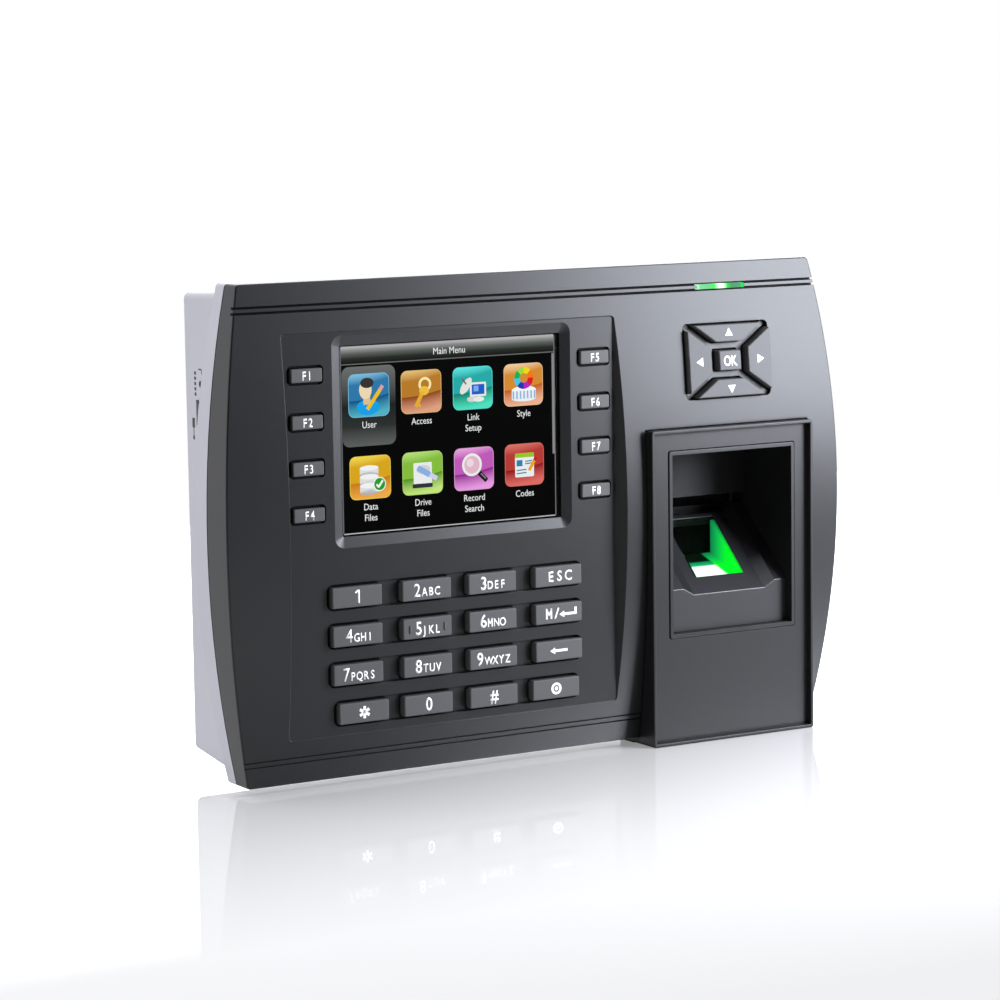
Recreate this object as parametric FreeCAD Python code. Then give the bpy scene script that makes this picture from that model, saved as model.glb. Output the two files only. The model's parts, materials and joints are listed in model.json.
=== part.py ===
import FreeCAD, Part
import math
import os

os.makedirs("parts", exist_ok=True)
V = FreeCAD.Vector

# Wall-hung fingerprint terminal. Millimetres. The wall is the plane Y = 0 and the front faces -Y.
# X = 0 and Z = 0 are the middle of the casing, and +Z is up.

# Casing
WIDTH = 208.0             # at mid height
END_WIDTH = 193.4         # along the top and the bottom edge
HEIGHT = 141.2
PANEL_Y = -40.0           # flat control panel, behind the curved face
FACE_Y = -43.84           # curved face at mid height
FACE_SAG = 5.43           # how far the face falls back at the top and bottom edge
PARTING_Y = -32.0         # front casing meets rear shell
LIP_END_Y = -26.6         # rear edge of the shell's lip at top and bottom
LIP_MID_Y = -23.7         # the same at mid height
WALL = 2.2
CORNER_R = 1.3
EDGE_R = 0.5              # rounding of the front edge
BACK_WALL_END_Y = -1.0    # bosses of the rear shell run into its back wall up to here

# Rear shell: the box behind the lip, which narrows towards the wall
BOX_LIP = (-95.4, 95.4, -68.6, 68.2)
BOX_WALL = (-94.0, 94.0, -65.6, 66.7)
BOX_START_Y = -30.0
BOX_CORNER_R = 2.0

# Control panel recess
PANEL_X = (-84.2, 25.0)
PANEL_Z = (-57.9, 56.3)
PANEL_THICK = 2.4
PANEL_DRAFT = 2.2         # the right-hand wall leans out by this much
PANEL_CORNER_R = 1.0
PANEL_EDGE_R = 0.15       # as much as the shallow ends of the recess allow

# Screen
WINDOW_X = (-65.1, 7.2)
WINDOW_Z = (-1.7, 52.1)
BEVEL_OUT = 3.1           # the sloped surround, wider than the window on each side
BEVEL_DEPTH = 1.1
WINDOW_THICK = 0.6
WINDOW_LAP = 1.9          # the window is this much wider than its opening, each side
POCKET_GAP = 0.2          # window to its pocket
LCD_GAP = 0.3             # air between window and screen panel
LCD_THICK = 1.4
LCD_FRAME = (-67.8, 9.1, -9.8, 54.1)
LCD_FRAME_DEPTH = 2.7

# Keys
TRAVEL = 1.0
KEY_GAP = 0.25            # key to the wall of its hole
FLANGE = 1.0              # lip behind the panel that keeps a key in
FLANGE_THICK = 0.8
REST_GAP = 0.3            # flange to the back of the panel, at rest
DOME_GAP = 0.2            # pressed key to the dome under it
KEY_W, KEY_H, KEY_PROUD = 15.96, 5.84, 1.8
KEY_CORNER_R = 0.45
KEY_EDGE_R = 0.35
BUMP_R, BUMP_PROUD, BUMP_LONG, BUMP_IN = 0.4, 0.3, 1.7, 2.3   # touch marks on key 5
ROW_BOTTOM = (-21.5, -32.5, -43.5, -54.7)
COLUMN_X = (-70.5, -47.9, -26.1, -3.7)
LAST_ROW_X = (-68.9, -47.9, -26.1, -4.9)
ROW_NAMES = (
    ("key_1", "key_2", "key_3", "key_escape"),
    ("key_4", "key_5", "key_6", "key_menu"),
    ("key_7", "key_8", "key_9", "key_back"),
    ("key_star", "key_0", "key_hash", "key_round"),
)
CHANNEL_DEPTH = 1.0
CHANNEL_MARGIN = 0.8
F_W, F_H, F_PROUD = 9.8, 3.86, 1.0
F_CORNER_R = 0.45
F_CHANNEL_DEPTH = 0.8
F_LEFT_X = -81.6
F_RIGHT_X = 13.3
F_BOTTOM = (42.7, 29.6, 16.6, 3.6)

# Direction keys
NAV_X = (49.05, 79.8)
NAV_Z = (30.0, 52.6)
NAV_SINK = 1.2            # web of the well, below the face
NAV_PROUD = 1.8
NAV_WEB = 1.5
NAV_GAP = 0.6
NAV_OK = (7.75, 5.8)
NAV_BACK_Y = -38.4
NAV_EDGE_R = 0.3
NAV_CORNER_R = 1.6

# Boards
MAT_SHEET = 0.6
DOME_HIGH = 0.4           # pressed flat
DOME_R, SMALL_DOME_R = 2.6, 1.9
BOSS_R = 2.1
BOSS_HOLE = 3.4
BOARD = 1.6
MAIN_FRONT_Y = -23.0
MAIN_BOARD = (-84.0, 36.0, -54.0, 54.0)

# Status light
LIGHT_X = (55.6, 72.6)
LIGHT_FROM_TOP = (8.1, 6.5)
LIGHT_BOARD_UP = 2.6      # the lamp board reaches this far above the light
LIGHT_BOARD_DOWN = 4.5
LIGHT_BOARD_GAP = 0.35    # lamp board to the wall in front of its top edge
LAMP_THICK = 1.0
LAMP_HALF = 1.6           # half the width of a lamp
LAMP_IN = 4.5             # lamps stand this far in from the ends of the light
SNUG = 0.1                # clearance of a glued or pressed-in part, each side
GROOVE = 0.7
GROOVE_DEPTH = 1.5
BAND_DEPTH = 0.25         # the strip between the upper grooves lies back by this
BOTTOM_GROOVES = (6.2, 7.7)
BOTTOM_GROOVE = 0.4
BOTTOM_GROOVE_DEPTH = 0.45

# Fingerprint unit
COVER_X = (34.3, 92.7)
COVER_DROP = 2.0          # the cover reaches below the casing
COVER_Z = (-HEIGHT / 2 - COVER_DROP, 22.0)
COVER_Y = -46.5
COVER_BACK_Y = -34.0
TONGUE_Y = -28.0
COVER_GAP = 0.3
RIM = 1.0
RIM_R = 0.25
COVER_WALL = 1.5
COVER_CORNER_R = 0.8
PLATE_SINK = 2.0
PLATE_THICK = 2.0
GUIDE_X = (41.4, 87.0)
GUIDE_Z = (-40.6, 15.5)
GUIDE_WALL = 1.2
GUIDE_GAP = 0.2
GUIDE_PROUD = 0.3
GUIDE_BACK_Y = -15.0
GUIDE_EDGE_R = 0.25
GUIDE_FLANGE = 1.8
GUIDE_FLANGE_THICK = 1.4
GUIDE_CORNER_R = 0.8
HOOD_Y = -19.9
HOOD_Z = -2.1
REST_GAP_X = 0.1
REST_FRONT_Y = -41.8
REST_TOP_Z = -26.5
SLOPE = 0.94
SLOPE_END_Y = -19.6
DIP = 2.1
DIP_X = (52.1, 77.8)
DIP_LEAN = 3.7
REST_EDGE_R = 0.4
REST_THICK = 2.7
PLATEN_X = (55.7, 73.5)
PLATEN_Y = (-37.1, -20.5)

# Fasteners
SCREW_R = 1.45
SCREW_HEAD_R = 2.8
SCREW_HEAD = 2.0
CASE_SCREWS = ((-88.0, 60.0), (88.0, 60.0), (-88.0, -60.0), (30.7, -60.0))
TUNNEL_R = 4.0
POST_R = 3.2
BOARD_SCREW_R = 1.1
BOARD_SCREW_HEAD_R = 2.3
BOARD_SCREW_HEAD = 1.5
BOARD_SCREW_LENGTH = 5.0
KEYPAD_SCREWS = [(x, z) for x in (-78.0, 20.0) for z in (-50.0, -12.2, 53.0)]
NAV_SCREWS = [(45.8, 41.3), (83.2, 41.3)]
MAIN_SCREWS = [(x, z) for x in (-78.0, 30.0) for z in (-48.0, 48.0)]
WALL_HOLES = (130.0, 96.0)
WALL_HOLE_R = 1.65
WALL_HOLE_DEPTH = 10.0
WALL_BOSS_R = 4.0
WALL_BOSS_FLOOR = 2.0      # plastic left in front of a wall hole
BOARD_POST_R = 3.0
SEAT_THICK = 3.0          # plastic under a casing screw's head
SEAM_STEP = 0.45          # fine step along the parting line
SEAM_WIDE = 0.55

# Side sockets
USB_X = (-92.6, -80.0)
USB_Y = (-21.4, -7.4)
USB_Z = (29.6, 36.0)
USB_GAP = 0.5             # socket to the edge of its slot in the shell
RESET_Y, RESET_Z, RESET_R = -10.2, 41.1, 1.0
RESET_PIN_R = 1.6
RESET_TRAVEL = 0.3
BAY = (-62.0, 22.0, -44.0, -23.0)

HALF_H = HEIGHT / 2
FACE_R = (HALF_H ** 2 + FACE_SAG ** 2) / (2 * FACE_SAG)
SIDE_SAG = (WIDTH - END_WIDTH) / 2
SIDE_R = (HALF_H ** 2 + SIDE_SAG ** 2) / (2 * SIDE_SAG)
FAR = 60.0
PANEL_BACK_Y = PANEL_Y + PANEL_THICK


def box(x0, x1, y0, y1, z0, z1):
    return Part.makeBox(x1 - x0, y1 - y0, z1 - z0, V(x0, y0, z0))


def prism_y(points, y0, y1):
    """Polygon of (x, z) points, extruded along Y."""
    corners = [V(x, y0, z) for x, z in points]
    return Part.Face(Part.makePolygon(corners + corners[:1])).extrude(V(0, y1 - y0, 0))


def prism_x(points, x0, x1):
    """Polygon of (y, z) points, extruded along X."""
    corners = [V(x0, y, z) for y, z in points]
    return Part.Face(Part.makePolygon(corners + corners[:1])).extrude(V(x1 - x0, 0, 0))


def cyl_y(x, z, r, y0, y1):
    return Part.makeCylinder(r, y1 - y0, V(x, y0, z), V(0, 1, 0))


def cyl_x(y, z, r, x0, x1):
    return Part.makeCylinder(r, x1 - x0, V(x0, y, z), V(1, 0, 0))


def round_wire(x0, x1, z0, z1, r, y):
    """Rounded rectangle in the plane at y."""
    k = r * (1 - math.sqrt(0.5))
    p = [V(x0 + r, y, z0), V(x1 - r, y, z0), V(x1, y, z0 + r), V(x1, y, z1 - r),
         V(x1 - r, y, z1), V(x0 + r, y, z1), V(x0, y, z1 - r), V(x0, y, z0 + r)]
    m = [V(x1 - k, y, z0 + k), V(x1 - k, y, z1 - k), V(x0 + k, y, z1 - k), V(x0 + k, y, z0 + k)]
    edges = []
    for i in range(4):
        a, b, c = p[2 * i], p[2 * i + 1], p[(2 * i + 2) % 8]
        edges.append(Part.LineSegment(a, b).toShape())
        edges.append(Part.Arc(b, m[i], c).toShape())
    return Part.Wire(edges)


def round_box(x0, x1, z0, z1, r, y0, y1):
    return Part.Face(round_wire(x0, x1, z0, z1, r, y0)).extrude(V(0, y1 - y0, 0))


def loft(wires):
    return Part.makeLoft(wires, True, True)


def fuse(shapes):
    body = shapes[0]
    for other in shapes[1:]:
        body = body.fuse(other)
    return body.removeSplitter()


def barrel(inset, y0, y1):
    """The casing outline, shrunk by inset, between two planes."""
    hz = HALF_H - inset
    r = SIDE_R - inset
    cx = WIDTH / 2 - SIDE_R
    xm = cx + r
    xe = cx + math.sqrt(r * r - hz * hz)
    edges = [
        Part.LineSegment(V(-xe, y0, hz), V(xe, y0, hz)).toShape(),
        Part.Arc(V(xe, y0, hz), V(xm, y0, 0), V(xe, y0, -hz)).toShape(),
        Part.LineSegment(V(xe, y0, -hz), V(-xe, y0, -hz)).toShape(),
        Part.Arc(V(-xe, y0, -hz), V(-xm, y0, 0), V(-xe, y0, hz)).toShape(),
    ]
    return Part.Face(Part.Wire(edges)).extrude(V(0, y1 - y0, 0))


def behind_face(offset):
    """Everything behind the curved face moved back by offset."""
    return cyl_x(FACE_Y + FACE_R, 0, FACE_R - offset, -WIDTH, WIDTH)


def face_y(z):
    return FACE_Y + FACE_R - math.sqrt(FACE_R ** 2 - z ** 2)


def depth_edges(body, y0, y1):
    """Straight edges that run along Y over the whole span."""
    found = []
    for edge in body.Edges:
        a, b = edge.Vertexes[0].Point, edge.Vertexes[-1].Point
        along = abs(a.x - b.x) < 1e-4 and abs(a.z - b.z) < 1e-4
        if along and abs(abs(a.y - b.y) - (y1 - y0)) < 1e-3:
            found.append(edge)
    return found


def rounded_barrel(y0, y1):
    body = barrel(0, y0, y1)
    return body.makeFillet(CORNER_R, depth_edges(body, y0, y1))


def front_edges(body, y):
    """Edges that lie wholly in the plane at y."""
    return [e for e in body.Edges if all(abs(v.Point.y - y) < 1e-4 for v in e.Vertexes)]


def face_edges(body, offset, x0=-WIDTH, x1=WIDTH, z0=-HEIGHT, z1=HEIGHT):
    """Edges on the curved face moved back by offset, inside a rectangle."""
    found = []
    for edge in body.Edges:
        points = [v.Point for v in edge.Vertexes] + [edge.valueAt(sum(edge.ParameterRange) / 2)]
        on_face = all(abs(math.hypot(p.y - FACE_Y - FACE_R, p.z) - FACE_R + offset) < 1e-3 for p in points)
        if on_face and all(x0 < p.x < x1 and z0 < p.z < z1 for p in points):
            found.append(edge)
    return found


def save(name, shape):
    shape.exportStep("parts/" + name + ".step")
    print(name, round(shape.Volume, 1), shape.isValid(), len(shape.Solids))


# ---- keys -------------------------------------------------------------------------------------
FLANGE_Y = PANEL_BACK_Y + REST_GAP
DOME_Y = FLANGE_Y + FLANGE_THICK + TRAVEL + DOME_GAP
MAT_STACK = DOME_HIGH + MAT_SHEET


def panel_key(x, z, w, h, proud, r):
    y = PANEL_Y - proud
    cap = round_box(x, x + w, z, z + h, r, y, FLANGE_Y + FLANGE_THICK)
    cap = cap.makeFillet(KEY_EDGE_R, front_edges(cap, y))
    f = FLANGE
    return fuse([cap, box(x - f, x + w + f, FLANGE_Y, FLANGE_Y + FLANGE_THICK, z - f, z + h + f)])


number_keys = []
for names, z, row in zip(ROW_NAMES, ROW_BOTTOM, range(4)):
    xs = LAST_ROW_X if row == 3 else COLUMN_X
    for name, x in zip(names, xs):
        number_keys.append((name, x, z))


def touch_mark(x, z):
    """Small upright half-round bar on a key's face, to be felt by a fingertip."""
    y = PANEL_Y - KEY_PROUD + BUMP_R - BUMP_PROUD
    half = BUMP_LONG / 2
    bar = Part.makeCylinder(BUMP_R, BUMP_LONG, V(x, y, z - half), V(0, 0, 1))
    return fuse([bar, Part.makeSphere(BUMP_R, V(x, y, z - half)), Part.makeSphere(BUMP_R, V(x, y, z + half))])


for name, x, z in number_keys:
    key = panel_key(x, z, KEY_W, KEY_H, KEY_PROUD, KEY_CORNER_R)
    if name == "key_5":
        marks = [touch_mark(x + along, z + KEY_H / 2) for along in (BUMP_IN, KEY_W - BUMP_IN)]
        key = fuse([key] + marks)
    save(name, key)

function_keys = []
for i, z in enumerate(F_BOTTOM):
    function_keys.append((f"key_f{i + 1}", F_LEFT_X, z))
    function_keys.append((f"key_f{i + 5}", F_RIGHT_X, z))
for name, x, z in function_keys:
    save(name, panel_key(x, z, F_W, F_H, F_PROUD, F_CORNER_R))

# Direction keys: four trapezoids round a square, between the arms of an X-shaped web
NAV_MX = sum(NAV_X) / 2
NAV_MZ = sum(NAV_Z) / 2
NAV_HX = (NAV_X[1] - NAV_X[0]) / 2
NAV_HZ = (NAV_Z[1] - NAV_Z[0]) / 2
OK_HX, OK_HZ = NAV_OK[0] / 2, NAV_OK[1] / 2
RING = NAV_WEB + 2 * NAV_GAP
NAV_FLANGE_Y = NAV_BACK_Y + REST_GAP
NAV_DOME_Y = NAV_FLANGE_Y + FLANGE_THICK + TRAVEL + DOME_GAP


def nav_outlines(grow):
    """The five key outlines as (x, z) polygons round the middle, each grown by grow."""
    ix, iz = OK_HX + RING - grow, OK_HZ + RING - grow
    ox, oz = NAV_HX - NAV_GAP + grow, NAV_HZ - NAV_GAP + grow
    k = (NAV_HX - OK_HX - NAV_WEB) / (NAV_HZ - OK_HZ - NAV_WEB)
    half = (NAV_WEB / 2 + NAV_GAP - grow) * math.sqrt(1 + k * k)
    cx = OK_HX + NAV_WEB - k * (OK_HZ + NAV_WEB)

    def side_x(z):
        return cx + k * z - half

    def side_z(x):
        return (x - cx) / k - half / k

    up = [(-side_x(iz), iz), (side_x(iz), iz), (side_x(oz), oz), (-side_x(oz), oz)]
    right = [(ix, -side_z(ix)), (ox, -side_z(ox)), (ox, side_z(ox)), (ix, side_z(ix))]
    g = grow
    ok = [(-OK_HX - g, -OK_HZ - g), (OK_HX + g, -OK_HZ - g), (OK_HX + g, OK_HZ + g), (-OK_HX - g, OK_HZ + g)]
    return {
        "key_up": up,
        "key_down": [(x, -z) for x, z in up],
        "key_right": right,
        "key_left": [(-x, z) for x, z in right],
        "key_ok": ok,
    }


def nav_prism(points, y0, y1):
    return prism_y([(NAV_MX + x, NAV_MZ + z) for x, z in points], y0, y1)


for name, outline in nav_outlines(0).items():
    cap = nav_prism(outline, -FAR, NAV_FLANGE_Y + FLANGE_THICK).common(behind_face(-NAV_PROUD))
    cap = cap.makeFillet(NAV_EDGE_R, face_edges(cap, -NAV_PROUD))
    flange = nav_prism(nav_outlines(0.5)[name], NAV_FLANGE_Y, NAV_FLANGE_Y + FLANGE_THICK)
    save(name, fuse([cap, flange]))

# ---- front casing -----------------------------------------------------------------------------
outer = rounded_barrel(-FAR, PARTING_Y).common(behind_face(0))
outer = outer.makeFillet(EDGE_R, face_edges(outer, 0))

# Recess of the control panel, with a leaning right-hand wall and a rounded mouth
mouth_y = FACE_Y - 2.0
lean = PANEL_DRAFT * (PANEL_Y - mouth_y) / (PANEL_Y - FACE_Y)
recess = Part.Face(Part.makePolygon([
    V(PANEL_X[0], PANEL_Y, PANEL_Z[0]),
    V(PANEL_X[1], PANEL_Y, PANEL_Z[0]),
    V(PANEL_X[1] + lean, mouth_y, PANEL_Z[0]),
    V(PANEL_X[0], mouth_y, PANEL_Z[0]),
    V(PANEL_X[0], PANEL_Y, PANEL_Z[0]),
])).extrude(V(0, 0, PANEL_Z[1] - PANEL_Z[0]))
corners = [e for e in recess.Edges if abs(e.Vertexes[0].Point.y - e.Vertexes[-1].Point.y) > 1]
outer = outer.cut(recess.makeFillet(PANEL_CORNER_R, corners))
mouth = face_edges(outer, 0, PANEL_X[0] - WALL, PANEL_X[1] + PANEL_DRAFT + WALL, PANEL_Z[0] - WALL, PANEL_Z[1] + WALL)
outer = outer.makeFillet(PANEL_EDGE_R, mouth)

inner = barrel(WALL, -FAR, PARTING_Y + 1).common(behind_face(WALL))
panel_block = box(PANEL_X[0] - WALL, PANEL_X[1] + PANEL_DRAFT + WALL, -FAR, PANEL_BACK_Y,
                  PANEL_Z[0] - WALL, PANEL_Z[1] + WALL)
nav_block = box(NAV_X[0] - WALL, NAV_X[1] + WALL, -FAR, NAV_BACK_Y, NAV_Z[0] - WALL, NAV_Z[1] + WALL)
front = outer.cut(inner.cut(panel_block).cut(nav_block))
cuts = []

# Screen: sloped surround, hole, and the pocket behind it for the window
wx0, wx1, wz0, wz1 = WINDOW_X + WINDOW_Z
glass_y = PANEL_Y + BEVEL_DEPTH
b = BEVEL_OUT
cuts.append(loft([round_wire(wx0 - b, wx1 + b, wz0 - b, wz1 + b, 3.0, PANEL_Y),
                  round_wire(wx0, wx1, wz0, wz1, 0.3, glass_y)]))
cuts.append(box(wx0 + 0.01, wx1 - 0.01, PANEL_Y - 1, PANEL_BACK_Y + 1, wz0 + 0.01, wz1 - 0.01))
p = WINDOW_LAP + POCKET_GAP
cuts.append(box(wx0 - p, wx1 + p, glass_y, PANEL_BACK_Y + 1, wz0 - p, wz1 + p))

# Number keys: a shallow channel for each row, and a hole for each key
m = CHANNEL_MARGIN
for row, z in enumerate(ROW_BOTTOM):
    xs = LAST_ROW_X if row == 3 else COLUMN_X
    cuts.append(round_box(xs[0] - m, xs[-1] + KEY_W + m, z - m, z + KEY_H + m, 2.0,
                          PANEL_Y - 1, PANEL_Y + CHANNEL_DEPTH))
g = KEY_GAP
for name, x, z in number_keys:
    cuts.append(round_box(x - g, x + KEY_W + g, z - g, z + KEY_H + g, KEY_CORNER_R + 0.1, -FAR, PARTING_Y))
for name, x, z in function_keys:
    cuts.append(round_box(x - m, x + F_W + m, z - m, z + F_H + m, F_CORNER_R + m, PANEL_Y - 1,
                          PANEL_Y + F_CHANNEL_DEPTH))
    cuts.append(round_box(x - g, x + F_W + g, z - g, z + F_H + g, F_CORNER_R + 0.1, -FAR, PARTING_Y))

# Direction keys: a well with a web, and five holes
well = round_box(*NAV_X, *NAV_Z, NAV_CORNER_R, -FAR, PARTING_Y).cut(behind_face(NAV_SINK))
cuts.append(well)
for outline in nav_outlines(NAV_GAP - 0.1).values():
    cuts.append(nav_prism(outline, -FAR, PARTING_Y))

# Status light slot between two grooves, and the pair of fine grooves low down
light_z = (HALF_H - LIGHT_FROM_TOP[0], HALF_H - LIGHT_FROM_TOP[1])
cuts.append(box(*LIGHT_X, -FAR, PARTING_Y, *light_z))


def face_groove(z0, z1, depth):
    """Tool for a groove of even depth right across the curved face."""
    return box(-WIDTH, WIDTH, -FAR, PARTING_Y, z0, z1).cut(behind_face(depth))


cuts.append(face_groove(*light_z, BAND_DEPTH))
for z in light_z:
    cuts.append(face_groove(z - GROOVE / 2, z + GROOVE / 2, GROOVE_DEPTH))
for up in BOTTOM_GROOVES:
    z = up - HALF_H
    cuts.append(face_groove(z - BOTTOM_GROOVE / 2, z + BOTTOM_GROOVE / 2, BOTTOM_GROOVE_DEPTH))

# Cut-out for the fingerprint cover, open at the bottom
g = COVER_GAP
cuts.append(box(COVER_X[0] - g, COVER_X[1] + g, -FAR, COVER_BACK_Y + g, -HEIGHT, COVER_Z[1] + g))

for x, z in CASE_SCREWS:
    front = front.fuse(cyl_y(x, z, POST_R, face_y(z) + 1.2, PARTING_Y))
for x, z in KEYPAD_SCREWS:
    front = front.fuse(cyl_y(x, z, BOSS_R, PANEL_BACK_Y - 0.5, DOME_Y + MAT_STACK))
for x, z in NAV_SCREWS:
    front = front.fuse(cyl_y(x, z, BOSS_R, face_y(z) + 1.0, NAV_DOME_Y + MAT_STACK))
for x, z in CASE_SCREWS:
    cuts.append(cyl_y(x, z, SCREW_R, face_y(z) + 2.4, PARTING_Y + 1))
for x, z in KEYPAD_SCREWS:
    cuts.append(cyl_y(x, z, BOARD_SCREW_R, DOME_Y + MAT_STACK - BOSS_HOLE, PARTING_Y))
for x, z in NAV_SCREWS:
    cuts.append(cyl_y(x, z, BOARD_SCREW_R, NAV_DOME_Y + MAT_STACK - BOSS_HOLE, PARTING_Y))
for tool in cuts:
    front = front.cut(tool)
save("front_casing", front.removeSplitter())

# ---- rear shell -------------------------------------------------------------------------------
LIP_SAG = LIP_MID_Y - LIP_END_Y
LIP_R = (HALF_H ** 2 + LIP_SAG ** 2) / (2 * LIP_SAG)
lip = rounded_barrel(PARTING_Y, PARTING_Y + 15).common(cyl_x(LIP_MID_Y - LIP_R, 0, LIP_R, -WIDTH, WIDTH))
seam = rounded_barrel(PARTING_Y, PARTING_Y + SEAM_STEP).cut(barrel(SEAM_WIDE, PARTING_Y - 1, PARTING_Y + 1))


def shell_box(inset, y_end):
    """The narrowing box, shrunk by inset, from the lip to y_end."""
    t = (y_end - BOX_START_Y) / -BOX_START_Y
    ends = []
    for s, y in ((0.0, BOX_START_Y), (t, y_end)):
        x0, x1, z0, z1 = [a + (b - a) * s for a, b in zip(BOX_LIP, BOX_WALL)]
        ends.append(round_wire(x0 + inset, x1 - inset, z0 + inset, z1 - inset,
                               BOX_CORNER_R, y))
    return loft(ends)


rear = lip.cut(seam).fuse(shell_box(0, 0))
hollow = shell_box(WALL, -WALL)
mouth = barrel(WALL, PARTING_Y - 1, LIP_END_Y - WALL)
rear = rear.cut(hollow).cut(mouth)
for x, z in CASE_SCREWS:
    rear = rear.fuse(cyl_y(x, z, TUNNEL_R, PARTING_Y, BACK_WALL_END_Y))
for x, z in MAIN_SCREWS:
    rear = rear.fuse(cyl_y(x, z, BOARD_POST_R, MAIN_FRONT_Y + BOARD, BACK_WALL_END_Y))
wall_points = [(sx * WALL_HOLES[0] / 2, sz * WALL_HOLES[1] / 2) for sx in (-1, 1) for sz in (-1, 1)]
for x, z in wall_points:
    rear = rear.fuse(cyl_y(x, z, WALL_BOSS_R, -WALL_HOLE_DEPTH - WALL_BOSS_FLOOR, BACK_WALL_END_Y))
cuts = [cyl_y(x, z, WALL_HOLE_R, -WALL_HOLE_DEPTH, 1.0) for x, z in wall_points]
for x, z in CASE_SCREWS:
    cuts.append(cyl_y(x, z, SCREW_R + 0.15, PARTING_Y - 1, 1.0))
    cuts.append(cyl_y(x, z, SCREW_HEAD_R + 0.3, PARTING_Y + SEAT_THICK, 1.0))
for x, z in MAIN_SCREWS:
    cuts.append(cyl_y(x, z, BOARD_SCREW_R, MAIN_FRONT_Y + BOARD - 1, MAIN_FRONT_Y + BOARD + 3.4))
cuts.append(box(BAY[0], BAY[1], -WALL - 1, 1.0, BAY[2], BAY[3]))
g = USB_GAP
cuts.append(box(-100, -88, USB_Y[0] - g, USB_Y[1] + g, USB_Z[0] - g, USB_Z[1] + g))
cuts.append(cyl_x(RESET_Y, RESET_Z, RESET_R, -100, -88))
for tool in cuts:
    rear = rear.cut(tool)
save("rear_shell", rear.removeSplitter())

# ---- screen -----------------------------------------------------------------------------------
f = WINDOW_LAP
save("display_window", box(wx0 - f, wx1 + f, glass_y, glass_y + WINDOW_THICK, wz0 - f, wz1 + f))
lcd_y = glass_y + WINDOW_THICK + LCD_GAP
lcd = box(wx0 - 1.5, wx1 + 0.8, lcd_y, lcd_y + LCD_THICK, wz0 - 1.5, wz1 + 1.5)
save("lcd_panel", lcd)
fx0, fx1, fz0, fz1 = LCD_FRAME
tray = box(fx0, fx1, PANEL_BACK_Y, PANEL_BACK_Y + LCD_FRAME_DEPTH, fz0, fz1)
save("lcd_frame", tray.cut(lcd))

# ---- keypad: rubber mats and boards -----------------------------------------------------------
MAT_Y = DOME_Y + DOME_HIGH
KEYPAD_Y = DOME_Y + MAT_STACK


def dome(x, z, r, y):
    return Part.makeCone(r * 0.6, r, DOME_HIGH, V(x, y, z), V(0, 1, 0))


mat = box(PANEL_X[0] + 12.4, PANEL_X[1] - 10.9, MAT_Y, KEYPAD_Y, -57.0, -14.6)
mat = fuse([mat] + [dome(x + KEY_W / 2, z + KEY_H / 2, DOME_R, DOME_Y) for name, x, z in number_keys])
save("number_keymat", mat)
strips = []
for x in (F_LEFT_X, F_RIGHT_X):
    strip = box(x - 1.0, x + F_W + 1.0, MAT_Y, KEYPAD_Y, F_BOTTOM[3] - 2.0, F_BOTTOM[0] + F_H + 2.0)
    strips.append(fuse([strip] + [dome(x + F_W / 2, z + F_H / 2, SMALL_DOME_R, DOME_Y) for z in F_BOTTOM]))
save("function_keymats", Part.makeCompound(strips))
keypad_board = box(PANEL_X[0] - 0.8, PANEL_X[1] + 1.5, KEYPAD_Y, KEYPAD_Y + BOARD, -57.5, 56.5)
for x, z in KEYPAD_SCREWS:
    keypad_board = keypad_board.cut(cyl_y(x, z, BOARD_SCREW_R, KEYPAD_Y - 1, KEYPAD_Y + 3))
save("keypad_board", keypad_board)

NAV_BOARD_Y = NAV_DOME_Y + MAT_STACK
nav_mat = box(NAV_X[0] + 0.5, NAV_X[1] - 0.5, NAV_DOME_Y + DOME_HIGH, NAV_BOARD_Y, *NAV_Z)
nav_spots = [(0, 0), (0, NAV_HZ * 0.72), (0, -NAV_HZ * 0.72), (NAV_HX * 0.72, 0), (-NAV_HX * 0.72, 0)]
nav_mat = fuse([nav_mat] + [dome(NAV_MX + x, NAV_MZ + z, SMALL_DOME_R, NAV_DOME_Y) for x, z in nav_spots])
save("direction_keymat", nav_mat)
nav_board = box(NAV_X[0] - 5.6, NAV_X[1] + 5.8, NAV_BOARD_Y, NAV_BOARD_Y + BOARD, NAV_Z[0] - 2, NAV_Z[1] + 2)
for x, z in NAV_SCREWS:
    nav_board = nav_board.cut(cyl_y(x, z, BOARD_SCREW_R, -FAR, 0))
save("direction_board", nav_board)

# ---- status light -----------------------------------------------------------------------------
board_top = light_z[1] + LIGHT_BOARD_UP
lamp_board_y = face_y(board_top) + WALL + LIGHT_BOARD_GAP
lamp_y = lamp_board_y - LAMP_THICK
c = SNUG
pipe = box(LIGHT_X[0] + c, LIGHT_X[1] - c, -FAR, lamp_y, light_z[0] + c, light_z[1] - c)
save("status_light_pipe", pipe.common(behind_face(0.05)))
led_board = [box(LIGHT_X[0] - 3, LIGHT_X[1] + 3, lamp_board_y, lamp_board_y + 1.2,
                 light_z[0] - LIGHT_BOARD_DOWN, board_top)]
for x in (LIGHT_X[0] + LAMP_IN, LIGHT_X[1] - LAMP_IN):
    led_board.append(box(x - LAMP_HALF, x + LAMP_HALF, lamp_y, lamp_board_y, light_z[0] + c, light_z[1] - c))
save("status_light_board", fuse(led_board))

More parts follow.
